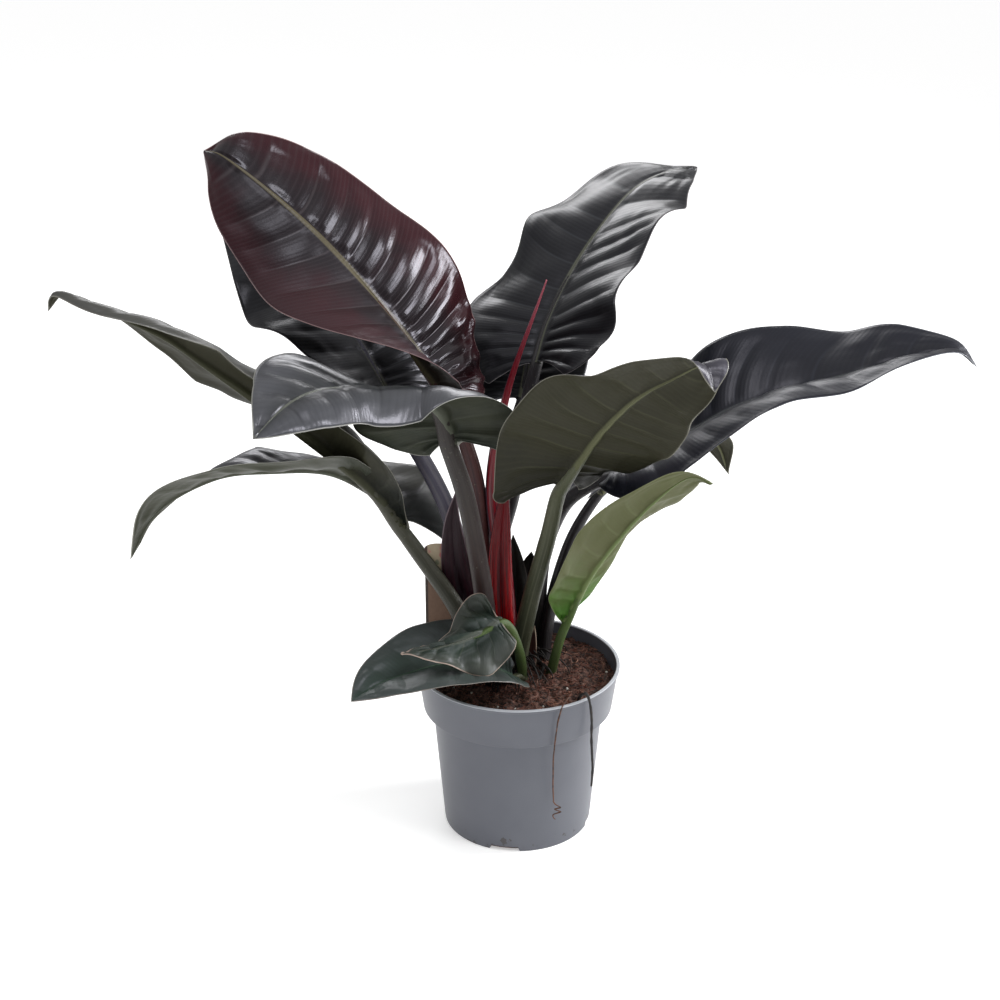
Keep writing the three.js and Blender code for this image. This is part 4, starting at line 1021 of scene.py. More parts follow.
def vein_lines(finish, across):
    """Thin lines on the side veins, which fade towards the margin, and fainter threads."""
    vein = finish.value("vein")
    thread = finish.math("PINGPONG", finish.math("MULTIPLY", vein, 7), 0.5)
    line = finish.range(finish.math("PINGPONG", vein, 0.5), 0.0, 0.06, 0.55, 0)
    line = finish.math("MULTIPLY", line, finish.range(across, 0.45, 0.95, 1, 0.1))
    fine = finish.math("MULTIPLY", finish.range(thread, 0.0, 0.3, 1, 0), 0.14)
    return finish.math("MAXIMUM", line, fine), thread


def leaf_finish(name, look, under):
    """One face of a leaf: its two colours in clouds, with vein lines, rib and margin mixed
    over them in turn. An underside is matt and its deep colour lies near the stalk."""
    shine = UNDER_SHINE if under else look.get("shine", TOP_SHINE)
    finish = Finish(name, **{"Specular IOR Level": shine, "Specular Tint": TOP_TINT})
    cloud = finish.noise(finish.place(), 13, 4)
    side, along, _ = finish.split(finish.uv())
    across = finish.math("ABSOLUTE", finish.math("MULTIPLY_ADD", side, 2, -1))
    line, thread = vein_lines(finish, across)
    if under:
        reach = finish.math("ADD", along, finish.math("MULTIPLY_ADD", cloud, 0.8, -0.4))
        colour = finish.mix(finish.range(reach, 0.0, 0.55), look["deep"], look["under"])
        colour = finish.mix(finish.math("MULTIPLY", line, 0.3), colour, look["rib"])
    else:
        reach = finish.math("ADD", across, finish.math("MULTIPLY_ADD", cloud, 1.1, -0.55))
        colour = finish.mix(finish.range(reach, 0.25, 0.85), look["top"], look["outer"])
        colour = finish.mix(line, colour, look["line"])
    # Painted shade: the deep colour over the blade's base, which is also made matt there.
    if "shaded_foot" in look:
        foot = finish.math("MULTIPLY_ADD", cloud, 0.2, finish.math("ADD", along, -0.1))
        foot = finish.range(foot, look["shaded_foot"] - 0.2, look["shaded_foot"], 1, 0)
        colour = finish.mix(foot, colour, look["deep"])
    rib = finish.range(finish.value("rib"), 0.45, 0.85, 0.95, 0)
    colour = finish.mix(rib, colour, look["rib"])
    edge = finish.range(finish.value("margin"), 0.3, 1.1, 0.8, 0)
    colour = finish.mix(edge, colour, look["edge"])
    offset = CLOUD_IN_GLOSS / 2 if under else -CLOUD_IN_GLOSS / 2
    gloss = finish.math("MULTIPLY_ADD", cloud, CLOUD_IN_GLOSS, look["gloss"] + offset)
    if "dull_left" in look:
        is_left = finish.range(side, 0.46, 0.54, look["dull_left"], 0)
        gloss = finish.math("ADD", gloss, is_left)
    if "shaded_foot" in look:
        gloss = finish.math("MAXIMUM", gloss, finish.math("MULTIPLY", foot, 0.9))
    speck = finish.noise(finish.place(), 420, 2)
    grain = finish.math("MULTIPLY_ADD", speck, 0.5, finish.math("MULTIPLY", thread, 0.7))
    return finish.done(colour, gloss, finish.bump(grain, 0.00022))


def stalk_finish(name, low, high, streak):
    """Colour from the foot up to the blade, with long streaks and small pale dots."""
    finish = Finish("stalk_" + name, **{"Specular IOR Level": 0.28})
    along = finish.split(finish.uv())[1]
    colour = finish.mix(finish.range(along, 0.05, 0.75), low, high)
    streaks = finish.noise(finish.uv((14, 1.2, 1)), 2.2, 3)
    colour = finish.mix(finish.range(streaks, 0.42, 0.72, 0, 0.7), colour, streak)
    dots = finish.noise(finish.place(), 330, 1)
    colour = finish.mix(finish.range(dots, 0.7, 0.78, 0, 0.35), colour, srgb(150, 150, 130))
    grain = finish.noise(finish.uv((40, 3, 1)), 3, 2)
    return finish.done(colour, 0.4, finish.bump(grain, 0.0004))


# The colours of a stalk: at its foot, at the blade, and its streaks
STALKS = {
    "wine": (srgb(84, 22, 30), srgb(92, 56, 54), srgb(40, 26, 34)),
    "black": (srgb(34, 30, 32), srgb(44, 42, 46), srgb(64, 58, 60)),
    "purple": (srgb(78, 70, 84), srgb(94, 92, 110), srgb(120, 116, 122)),
    "olive": (srgb(58, 60, 46), srgb(96, 100, 76), srgb(116, 118, 96)),
    "dark_olive": (srgb(48, 48, 40), srgb(76, 76, 62), srgb(92, 90, 78)),
    "brown": (srgb(70, 38, 36), srgb(58, 52, 48), srgb(44, 34, 38)),
    "bright": (srgb(52, 66, 34), srgb(96, 118, 66), srgb(84, 96, 62)),
}
LEAF_STALKS = {
    "leaf_tall_left": "wine", "leaf_tall_right": "black", "leaf_behind_left": "purple",
    "leaf_far_left": "dark_olive", "leaf_front_left": "brown", "leaf_low_left": "dark_olive",
    "leaf_front_right": "olive", "leaf_far_right": "black", "leaf_low_right": "bright",
    "leaf_behind_right": "black", "leaf_behind_centre": "black", "leaf_pot_edge": "olive",
    "leaf_small_front": "bright",
}
leaf_finishes = {
    name: [leaf_finish("top_" + name, look, False), leaf_finish("under_" + name, look, True)]
    for name, look in LOOKS.items()
}
stalk_finishes = {name: stalk_finish(name, *colours) for name, colours in STALKS.items()}
print("leaf finishes", len(leaf_finishes), "stalk finishes", len(stalk_finishes))

# %% Make the leaves
def make_leaf(name, leaf, seed):
    """The blade and the stalk of one leaf, which together stand for its solid."""
    look, slot = LEAF_LOOKS[name]
    rows, half_columns = leaf.get("grid", (BLADE_ROWS, BLADE_HALF_COLUMNS))
    points, faces, values, uv = blade_arrays(leaf, seed, rows, half_columns)
    blade = make_piece(name + "_blade", points, faces, leaf_finishes[look], values, uv, [name])
    is_under = values["under"][[face[0] for face in faces]].astype(np.int32)
    blade.data.polygons.foreach_set("material_index", is_under)
    points, faces, uv = stalk_arrays(leaf)
    finish = stalk_finishes[LEAF_STALKS[name]]
    make_piece(name + "_stalk", points, faces, [finish], uv=uv, nodes=[name])


for place, (name, leaf) in enumerate(LEAVES.items()):
    make_leaf(name, leaf, seed=7 * place + 3)
print("leaves made", len(LEAVES))

# %% [markdown]
# ## Sheaths, the rolled leaf and the roots
#
# A young leaf comes out of a sheath, and old sheaths dry to dark flaps. They are blades
# too, cupped and upright, so the same surface makes them, facing the front.

# %% Sheaths
FRONT = (0, -1, 0)
EVERY_SHEATH = {"lobe": 0, "facing": FRONT, "veins": 1, "quilt": (0.2, 0.2), "buckle": 0.5}
SHEATH_GRID, SHEATH_SEED = (60, 12), 200
SHEATHS = {
    "cataphyll_red": {
        "half_width": 17, "base_width": 0.75, "tip": (2.2, 1.0), "slot": "young_red",
        "midrib": [
            [-14, 15, 192, 0, 0, 90, 90], [-20, 12, 260, -10, -10, 90, 90],
            [-21, 10, 330, -10, -10, 90, 90], [-18, 9, 390, -10, -10, 80, 80],
            [-12, 11, 440, 0, 0, 60, 60],
        ],
    },
    "cataphyll_purple": {
        "half_width": 20, "base_width": 0.7, "tip": (2.2, 1.0), "slot": "sheath_purple",
        "midrib": [
            [-44, 40, 190, 0, 0, 60, 60], [-60, 36, 250, 0, 0, 60, 60],
            [-72, 34, 310, 0, 0, 60, 60], [-76, 32, 365, 0, 0, 50, 50],
            [-72, 30, 410, 0, 0, 40, 40],
        ],
    },
    "dark_sheath_left": {
        "half_width": 17, "base_width": 0.9, "tip": (2.2, 1.0), "slot": "dry_sheath",
        "midrib": [
            [0, 34, 192, 0, 0, 70, 70], [-1, 36, 250, 0, 0, 70, 70],
            [-2, 38, 305, 0, 0, 60, 60], [-6, 40, 352, 0, 0, 50, 50],
        ],
    },
    "dark_sheath_right": {
        "half_width": 20, "base_width": 0.9, "tip": (3.2, 1.0), "slot": "dry_sheath",
        "midrib": [
            [6, 48, 190, 0, 0, 60, 60], [8, 48, 240, 0, 0, 60, 60],
            [12, 48, 288, 0, 0, 50, 50], [16, 48, 326, 0, 0, 40, 40],
        ],
    },
    "dry_sliver": {
        "half_width": 6, "base_width": 0.8, "tip": (2, 1.0), "slot": "dry_sheath",
        "midrib": [
            [16, 20, 184, 0, 0, 40, 40], [17, 18, 215, 0, 0, 40, 40],
            [20, 18, 244, 0, 0, 40, 40],
        ],
    },
}
# The two colours of a sheath, its margin's colour and its roughness
SHEATH_COLOURS = {
    "cataphyll_red": (srgb(206, 0, 8), srgb(78, 0, 16), srgb(88, 52, 62), 0.24),
    "cataphyll_purple": (srgb(70, 20, 36), srgb(36, 18, 28), srgb(150, 132, 140), 0.36),
    "dark_sheath_left": (srgb(14, 13, 12), srgb(28, 23, 20), srgb(50, 43, 40), 0.8),
    "dark_sheath_right": (srgb(14, 13, 12), srgb(28, 23, 20), srgb(50, 43, 40), 0.8),
    "dry_sliver": (srgb(92, 50, 40), srgb(60, 30, 26), srgb(190, 170, 150), 0.7),
}


def sheath_finish(name, colour, shade, edge, gloss):
    """Long streaks of two colours that run up the sheath, darker upwards, and the margin."""
    finish = Finish(name, **{"Specular IOR Level": 0.25})
    streaks = finish.noise(finish.uv((9, 1, 1)), 2.4, 4)
    along = finish.split(finish.uv())[1]
    mixed = finish.mix(finish.range(streaks, 0.38, 0.66), colour, shade)
    mixed = finish.mix(finish.range(along, 0.35, 0.9, 0, 0.75), mixed, shade)
    margin = finish.range(finish.value("margin"), 0.3, 1.1, 0.85, 0)
    mixed = finish.mix(margin, mixed, edge)
    grain = finish.noise(finish.uv((60, 4, 1)), 2, 2)
    return finish.done(mixed, gloss, finish.bump(grain, 0.0003))


for place, (name, sheath) in enumerate(SHEATHS.items()):
    shape = sheath | EVERY_SHEATH
    points, faces, values, uv = blade_arrays(shape, SHEATH_SEED + place, *SHEATH_GRID)
    finish = sheath_finish(name, *SHEATH_COLOURS[name])
    make_piece(name + "_scale", points, faces, [finish], values, uv, [name])
print("sheaths made", len(SHEATHS))

# %% [markdown]
# The new leaf is rolled tight, one margin over the other. Its section is a spiral: the
# radius grows by a step once round, and the step winds slowly up the roll. The step's wall
# shows as the grey edge that runs up the real one.

# %% Rolled leaf
SPEAR_PATH = [[-8, 40, 180], [-14, 38, 290], [-30, 38, 411], [-13, 36, 526], [30, 26, 661]]
SPEAR_RADII, SPEAR_TAPER = (12, 0.8), 1.2
SPEAR_RINGS, SPEAR_SIDES = 150, 40
SEAM_AT, SEAM_WINDS = 0.86, 0.12


def spear_arrays():
    """A tapering tube whose radius grows by a quarter round the ring from a winding seam, as
    0.88 + 0.24 turn, and drops back just before it."""
    share = np.linspace(0, 1, SPEAR_RINGS)
    path = smooth_rows(SPEAR_PATH, share)
    radius = SPEAR_RADII[0] + (SPEAR_RADII[1] - SPEAR_RADII[0]) * share**SPEAR_TAPER
    points, faces = tube_arrays(path, radius, SPEAR_SIDES)
    around = np.arange(SPEAR_SIDES) / SPEAR_SIDES
    seam = SEAM_AT - SEAM_WINDS * share
    turn = (around[None] - seam[:, None]) % 1
    factor = 0.88 + 0.24 * turn - 0.22 * step(0.94, 1, turn)
    ring = points[:-2].reshape(SPEAR_RINGS, SPEAR_SIDES, 3)
    ring = path[:, None] + (ring - path[:, None]) * factor[..., None]
    points = np.vstack([ring.reshape(-1, 3), points[-2:]])
    values = {"turn": np.append(turn.ravel(), [0.5, 0.5])}
    return points, faces, values, tube_uv(SPEAR_RINGS, SPEAR_SIDES)


def spear_finish():
    """Crimson with darker streaks, grey purple beside the seam, and a pink tip."""
    finish = Finish("rolled_leaf")
    along = finish.split(finish.uv())[1]
    streaks = finish.noise(finish.uv((10, 1.4, 1)), 2.5, 3)
    colour = finish.mix(finish.range(streaks, 0.35, 0.7), srgb(158, 16, 36), srgb(96, 14, 36))
    colour = finish.mix(finish.range(along, 0.8, 1.0), colour, srgb(196, 96, 112))
    colour = finish.mix(finish.range(finish.value("turn"), 0.7, 0.8, 0, 0.9), colour, srgb(88, 70, 84))
    return finish.done(colour, 0.35, finish.bump(streaks, 0.0005))


points, faces, values, uv = spear_arrays()
make_piece("rolled_leaf", points, faces, [spear_finish()], values, uv, ["new_leaf_spear"])
print("rolled leaf faces", len(faces))

# %% [markdown]
# Roots are thin, knotty and a little crooked. One function makes a root from a given path: its
# radius swells at random knots, and a fine wander bends its line.

# %% Roots
THIN_ROOT = [
    [60, -92, 180], [58, -99, 206], [56, -106, 215], [50, -113, 209], [45, -114, 190], [42, -109, 160],
    [40, -105, 128], [40, -103, 84], [41, -103, 76], [49, -102, 70], [43, -102, 67], [50, -101, 62],
    [41, -101, 59], [43, -101, 53],
]
THICK_ROOT = [
    [64, -84, 180], [69, -89, 206], [75, -97, 215], [80, -96, 205], [83, -90, 180], [84, -86, 150],
    [86, -84, 115], [85, -82, 86],
]
THIN_RADII, THICK_RADII, FEEDER_RADII = (1.0, 0.7), (1.9, 1.3), (2.2, 1.2)
BEND_EVERY, KNOT_EVERY, KNOT_HEIGHT = 22, 7, 0.28
FEEDERS = [
    [[-24, 26, 188], [-30, 2, 197], [-34, -12, 192], [-36, -20, 180]],
    [[-14, 22, 188], [-18, -2, 198], [-20, -20, 193], [-24, -30, 181]],
    [[16, 30, 186], [30, 14, 194], [28, -6, 192], [24, -18, 180]],
]


def root_finish(name, colour, shade):
    """Two browns in short bands and blotches, matt."""
    finish = Finish(name)
    blotch = finish.noise(finish.place(), 160, 4)
    mixed = finish.mix(finish.range(blotch, 0.38, 0.62), colour, shade)
    return finish.done(mixed, 0.72, finish.bump(blotch, 0.0006))


def root_arrays(path, radii, seed, rings=90, sides=10, wander=0.8):
    """A tube along the path whose line wanders by wander times noise, and whose radius is
    scaled by 1 + KNOT_HEIGHT times noise, both along its length."""
    share = np.linspace(0, 1, rings)
    line = smooth_rows(path, share)
    length = np.linalg.norm(np.diff(line, axis=0), axis=1).sum()
    at_bend, at_knot = share * length / BEND_EVERY, share * length / KNOT_EVERY
    bends = [rough(at_bend, np.full(rings, 3.5 * k), seed + k, 3) for k in range(3)]
    line = line + wander * np.stack(bends, -1) * step(0, 0.1, share)[:, None]
    knots = 1 + KNOT_HEIGHT * rough(at_knot, np.full(rings, 0.5), seed + 9, 2)
    radius = (radii[0] + (radii[1] - radii[0]) * share) * knots
    return *tube_arrays(line, radius, sides), tube_uv(rings, sides)


brown_root = root_finish("brown_root", srgb(112, 72, 52), srgb(62, 38, 28))
dark_root = root_finish("dark_root", srgb(40, 32, 28), srgb(22, 18, 17))
points, faces, uv = root_arrays(THIN_ROOT, THIN_RADII, 301)
make_piece("thin_root", points, faces, [brown_root], uv=uv, nodes=["aerial_root_thin"])
points, faces, uv = root_arrays(THICK_ROOT, THICK_RADII, 311, wander=0.5)
make_piece("thick_root", points, faces, [dark_root], uv=uv, nodes=["aerial_root_thick"])
print("roots made")

# %% [markdown]
# The crown is the short stem that all stalks grow from. It is ringed with leaf scars, dark
# and knobbly, and its first roots dive into the coir in front of it.

# %% Crown
CROWN_PLACE = (-12, 42)
CROWN_RADIUS = 30
CROWN_LOW, CROWN_HIGH = 120, 197
CROWN_RINGS, CROWN_SIDES = 60, 72
SCAR_DEPTH, SCAR_TURNS, LUMP_DEPTH = 0.03, 40, 0.035


def crown_arrays():
    """A squat column turned round its axis, radius (1 - share^12 / 2) (1 + scars), with lumps
    of noise, closed by two poles."""
    share = np.linspace(0, 1, CROWN_RINGS)
    path = np.stack([np.full(CROWN_RINGS, CROWN_PLACE[0]), np.full(CROWN_RINGS, CROWN_PLACE[1]),
                     CROWN_LOW + (CROWN_HIGH - CROWN_LOW) * share], -1).astype(float)
    radius = CROWN_RADIUS * (1 - share**12 * 0.5) * (1 + SCAR_DEPTH * np.sin(SCAR_TURNS * share))
    points, faces = tube_arrays(path, radius, CROWN_SIDES)
    away = points - np.array([*CROWN_PLACE, 0])
    lump = rough(points[:, 0] / 9 + 20, points[:, 1] / 9 + points[:, 2] / 7 + 20, 41)
    points[:, :2] += away[:, :2] * LUMP_DEPTH * lump[:, None]
    return points, faces, tube_uv(CROWN_RINGS, CROWN_SIDES)


points, faces, uv = crown_arrays()
make_piece("crown", points, faces, [dark_root], uv=uv, nodes=["crown_stem"])
for place, path in enumerate(FEEDERS):
    points, faces, uv = root_arrays(path, FEEDER_RADII, 330 + place, 40)
    make_piece(f"feeder_root_{place + 1}", points, faces, [dark_root], uv=uv)
print("crown and feeder roots made")

# %% [markdown]
# A mat of thin dark roots spreads in front of the crown. Each is a short tube from the
# crown's side out into the coir; they are joined to one piece.

# %% Fine roots
FINE_ROOTS, FINE_SEED = 84, 12
FINE_TURN, FINE_SPREAD = -1.5, 0.65
FINE_REACH, FINE_ARC, FINE_DRIFT = (16, 64), (4, 16), 5
FINE_THICK, FINE_END = (0.7, 1.7), 0.5


def join_tubes(tubes):
    """Several (points, faces, uv) as one."""
    starts = np.cumsum([0] + [len(points) for points, _, _ in tubes])
    faces = [[n + int(start) for n in face] for start, tube in zip(starts, tubes) for face in tube[1]]
    return np.vstack([tube[0] for tube in tubes]), faces, np.vstack([tube[2] for tube in tubes])


def fine_root(random, seed):
    """One root: it leaves the crown at a random turn, rises in an arc and dips into the coir."""
    turn = random.normal(FINE_TURN, FINE_SPREAD)
    away = np.array([np.cos(turn), np.sin(turn), 0])
    reach = random.uniform(*FINE_REACH)
    drift = random.normal(0, FINE_DRIFT, 3) * (1, 1, 0)
    start = np.array([*CROWN_PLACE, CROWN_HIGH]) + away * (CROWN_RADIUS - 8)
    middle = start + away * reach * 0.5 + (0, 0, random.uniform(*FINE_ARC)) + drift / 2
    landing = start + away * reach + drift
    path = [start, middle, landing, landing + away * 4 - (0, 0, 14)]
    return root_arrays(path, (random.uniform(*FINE_THICK), FINE_END), seed, 22, 6, 1.6)


random = np.random.default_rng(FINE_SEED)
points, faces, uv = join_tubes([fine_root(random, 400 + k) for k in range(FINE_ROOTS)])
make_piece("fine_roots", points, faces, [dark_root], uv=uv)
print("fine roots", FINE_ROOTS)

# %% [markdown]
# ## Pot, soil and label
#
# The pot is a profile carried round the axis. A lathe on the real mould gives it crisp but
# slightly rounded edges, so each corner of the profile is softened, and the drain notches
# at the foot are dents of the same surface: between two angles and below a height, the
# wall's points rise to the notch's roof.

# %% Pot
POT_HEIGHT, POT_WALL = 205, 2.2
RIM_RADIUS, RIM_LIP, RIM_BEAD = 120, 1.8, 4
BASE_RADIUS, BASE_EDGE = 87.5, 2
WALL_TOP_RADIUS, COLLAR_FOOT_RADIUS, COLLAR_FOOT = 100.5, 111.5, 153
NOTCH_COUNT, NOTCH_TURN = 4, -10.3
NOTCH_HALF_WIDTH, NOTCH_HEIGHT, NOTCH_DEPTH = 17.5, 6, 12
# Heights in metres of the painted highlight at the rim's top edge.
LIP_HIGHLIGHT_FROM, LIP_HIGHLIGHT_TO = 0.2032, 0.2042
POT_SIDES = 256


def rounded_profile(corners, radius=0.8, steps=3):
    """The profile, points as (radius, height), with each corner replaced by a short curve
    (1 - t)^2 start + 2 t (1 - t) corner + t^2 end."""
    corners = np.asarray(corners, float)
    line = [corners[0]]
    for before, corner, after in zip(corners, corners[1:], corners[2:]):
        cut = min(radius, 0.45 * np.linalg.norm(before - corner), 0.45 * np.linalg.norm(after - corner))
        start = corner + unit(before - corner) * cut
        end = corner + unit(after - corner) * cut
        t = np.linspace(0, 1, steps + 1)[:, None]
        line.extend((1 - t) ** 2 * start + 2 * t * (1 - t) * corner + t**2 * end)
    return np.array([*line, corners[-1]])


def pot_arrays():
    """The profile from the middle of the underside, up the outside, over the rim and down
    the inside to the middle of the floor, turned round the axis as
    (radius sin(angle), -radius cos(angle), height). Near a notch the height is at least the
    roof's."""
    top = RIM_RADIUS - RIM_LIP
    corners = [
        (0.5, 0), (BASE_RADIUS - NOTCH_DEPTH, 0), (BASE_RADIUS, 0), (BASE_RADIUS + 0.6, NOTCH_HEIGHT),
        (WALL_TOP_RADIUS, COLLAR_FOOT - 1.5), (COLLAR_FOOT_RADIUS, COLLAR_FOOT),
        (top, POT_HEIGHT - RIM_BEAD), (RIM_RADIUS, POT_HEIGHT - RIM_BEAD + 0.8),
        (RIM_RADIUS, POT_HEIGHT), (top - POT_WALL, POT_HEIGHT),
        (top - POT_WALL, POT_HEIGHT - RIM_BEAD), (COLLAR_FOOT_RADIUS - POT_WALL, COLLAR_FOOT + POT_WALL),
        (WALL_TOP_RADIUS - POT_WALL, COLLAR_FOOT + POT_WALL - 1.5),
        (BASE_RADIUS - POT_WALL, POT_WALL),
        (BASE_RADIUS - NOTCH_DEPTH - POT_WALL, POT_WALL), (0.5, POT_WALL),
    ]
    profile = rounded_profile(corners)
    angle = np.linspace(0, 2 * np.pi, POT_SIDES, endpoint=False)
    radius, height = profile[:, :1], profile[:, 1:]
    spacing = 2 * np.pi / NOTCH_COUNT
    turned = angle - np.radians(NOTCH_TURN) + spacing / 2
    from_notch = np.abs(turned % spacing - spacing / 2) * BASE_RADIUS
    is_inside = np.arange(len(profile))[:, None] > len(profile) / 2
    roof = NOTCH_HEIGHT + POT_WALL * is_inside
    is_notch = (from_notch < NOTCH_HALF_WIDTH) & (radius > BASE_RADIUS - NOTCH_DEPTH - POT_WALL * is_inside)
    height = np.where(is_notch, np.maximum(height, roof), height + 0 * angle)
    points = np.stack([radius * np.sin(angle), -radius * np.cos(angle), height], -1)
    faces = grid_faces(len(profile), POT_SIDES, closed=True)
    count = len(profile) * POT_SIDES
    loop = np.arange(POT_SIDES + 1) % POT_SIDES
    faces += [face[::-1] for face in fan(loop, count)]
    faces += fan(loop + count - POT_SIDES, count + 1)
    poles = [[0, 0, profile[0, 1]], [0, 0, profile[-1, 1]]]
    return np.vstack([points.reshape(-1, 3), poles]), faces


def pot_finish():
    """Satin grey plastic: faint clouds, fine moulding grain, dirt near the foot and a painted
    highlight along the top edge of the rim, between two heights in metres."""
    finish = Finish("grey_plastic")
    cloud = finish.noise(finish.place(), 9, 3)
    colour = finish.mix(finish.range(cloud, 0.3, 0.7), srgb(96, 99, 110), srgb(106, 109, 119))
    height = finish.split(finish.place())[2]
    dirt = finish.noise(finish.place(), 95, 4)
    low = finish.range(height, 0.004, 0.04, 0.16, 0.0)
    dirt = finish.range(finish.math("ADD", dirt, low), 0.74, 0.8, 0, 0.75)
    colour = finish.mix(dirt, colour, srgb(64, 56, 52))
    # A pale, uneven band at the rim's top edge: a painted highlight.
    lip_highlight = finish.math("MULTIPLY_ADD", dirt, -0.002, height)
    colour = finish.mix(finish.range(lip_highlight, LIP_HIGHLIGHT_FROM, LIP_HIGHLIGHT_TO, 0, 0.85), colour, srgb(214, 218, 226))
    grain = finish.noise(finish.place(), 900, 2)
    gloss = finish.math("MULTIPLY_ADD", cloud, 0.12, 0.34)
    return finish.done(colour, gloss, finish.bump(grain, 0.00012))


points, faces = pot_arrays()
make_piece("nursery_pot", points, faces, [pot_finish()], nodes=["pot"])
print("pot faces", len(faces))

# %% [markdown]
# Coir is a mass of short brown fibres and crumbs. The bulk is a rough surface that fills
# the pot, and on top lie a few thousand separate fibres, each a thin bent strand with few
# faces, so that the edge of the soil is broken as the real one is.

# %% Soil
SOIL_TOP, SOIL_GAP = 188, 2.7
SOIL_RINGS, SOIL_SIDES = 110, 260
SOIL_CROWDING, COLLAR_LEAN = 0.9, 0.14
MOUND_HEIGHT, MOUND_SPREAD = 5, 50
LUMP_HEIGHT, LUMP_SIZE = 2.8, 14
CRUMB_HEIGHT, CRUMB_SIZE = 2.1, 4


def soil_height(x, y):
    """The level of the coir: a mound round the crown, MOUND_HEIGHT exp(-away^2), with lumps
    and crumbs of noise."""
    away = np.hypot(x - CROWN_PLACE[0], y - CROWN_PLACE[1]) / MOUND_SPREAD
    lumps = LUMP_HEIGHT * rough(x / LUMP_SIZE + 20, y / LUMP_SIZE + 20, 51, 3)
    crumbs = CRUMB_HEIGHT * rough(x / CRUMB_SIZE + 30, y / CRUMB_SIZE + 30, 61, 3)
    return SOIL_TOP + MOUND_HEIGHT * np.exp(-(away**2)) + (lumps + crumbs)


def soil_arrays():
    """Rings of radius edge share^SOIL_CROWDING at soil_height, from the middle out to the
    wall, then rings down the wall, with a pole in the middle of the top and of the floor."""
    edge = COLLAR_FOOT_RADIUS + (SOIL_TOP - COLLAR_FOOT) * COLLAR_LEAN - SOIL_GAP
    radius = np.linspace(0, 1, SOIL_RINGS + 1)[1:] ** SOIL_CROWDING * edge
    angle = np.linspace(0, 2 * np.pi, SOIL_SIDES, endpoint=False)
    x, y = radius[:, None] * np.cos(angle), radius[:, None] * np.sin(angle)
    top = np.stack([x, y, soil_height(x, y)], -1)
    walls = [
        (COLLAR_FOOT_RADIUS - SOIL_GAP, COLLAR_FOOT + 3),
        (WALL_TOP_RADIUS - SOIL_GAP, COLLAR_FOOT + 1), (BASE_RADIUS - SOIL_GAP, SOIL_GAP),
    ]
    circle = np.stack([np.cos(angle), np.sin(angle), 0 * angle], -1)
    down = np.stack([circle * r + (0, 0, z) for r, z in walls])
    points = np.concatenate([top, down])
    count = len(points) * SOIL_SIDES
    faces = grid_faces(len(points), SOIL_SIDES, closed=True)
    loop = np.arange(SOIL_SIDES + 1) % SOIL_SIDES
    faces = [face[::-1] for face in faces] + fan(loop, count)
    faces += [face[::-1] for face in fan(loop + count - SOIL_SIDES, count + 1)]
    poles = [[0, 0, float(soil_height(np.array(0.0), np.array(0.0)))], [0, 0, SOIL_GAP]]
    return np.vstack([points.reshape(-1, 3), poles]), faces


def coir_finish():
    """Reddish brown crumbs with pale specks; the dark brown lies in the bump's low places as painted shade
    in the gaps.
    """
    finish = Finish("coir")
    crumb = finish.noise(finish.place(), 150, 5, 0.65)
    fine = finish.noise(finish.place(), 520, 3)
    # The dark brown follows the bump's hollows: painted shade between the crumbs.
    colour = finish.mix(finish.range(crumb, 0.36, 0.64), srgb(44, 33, 30), srgb(128, 90, 78))
    colour = finish.mix(finish.range(fine, 0.55, 0.75, 0, 0.7), colour, srgb(176, 136, 116))
    return finish.done(colour, 0.95, finish.bump(crumb, 0.002))


points, faces = soil_arrays()
make_piece("coir_soil", points, faces, [coir_finish()], nodes=["soil"])
print("soil faces", len(faces))

# %% Coir fibres
LOOSE_SEED = 77
FIBRES, FIBRE_EDGE, FIBRE_STEPS = 3200, 113, 4
FIBRE_LENGTH, FIBRE_THICK = (3, 15), (0.25, 0.75)
FIBRE_BEND, FIBRE_PITCH = 0.5, (0.05, 0.16)
FIBRE_LIFT, FIBRE_SINK, FIBRE_OVERHANG = 0.8, 0.3, 1.5


def fibre_finish():
    """One brown for each fibre, from nearly black to pale red, by the number it carries."""
    finish = Finish("coir_fibre")
    shade = finish.value("shade")
    colour = finish.mix(finish.range(shade, 0.1, 0.6), srgb(46, 28, 22), srgb(128, 74, 58))
    colour = finish.mix(finish.range(shade, 0.75, 1), colour, srgb(182, 132, 108))
    return finish.done(colour, 0.9)


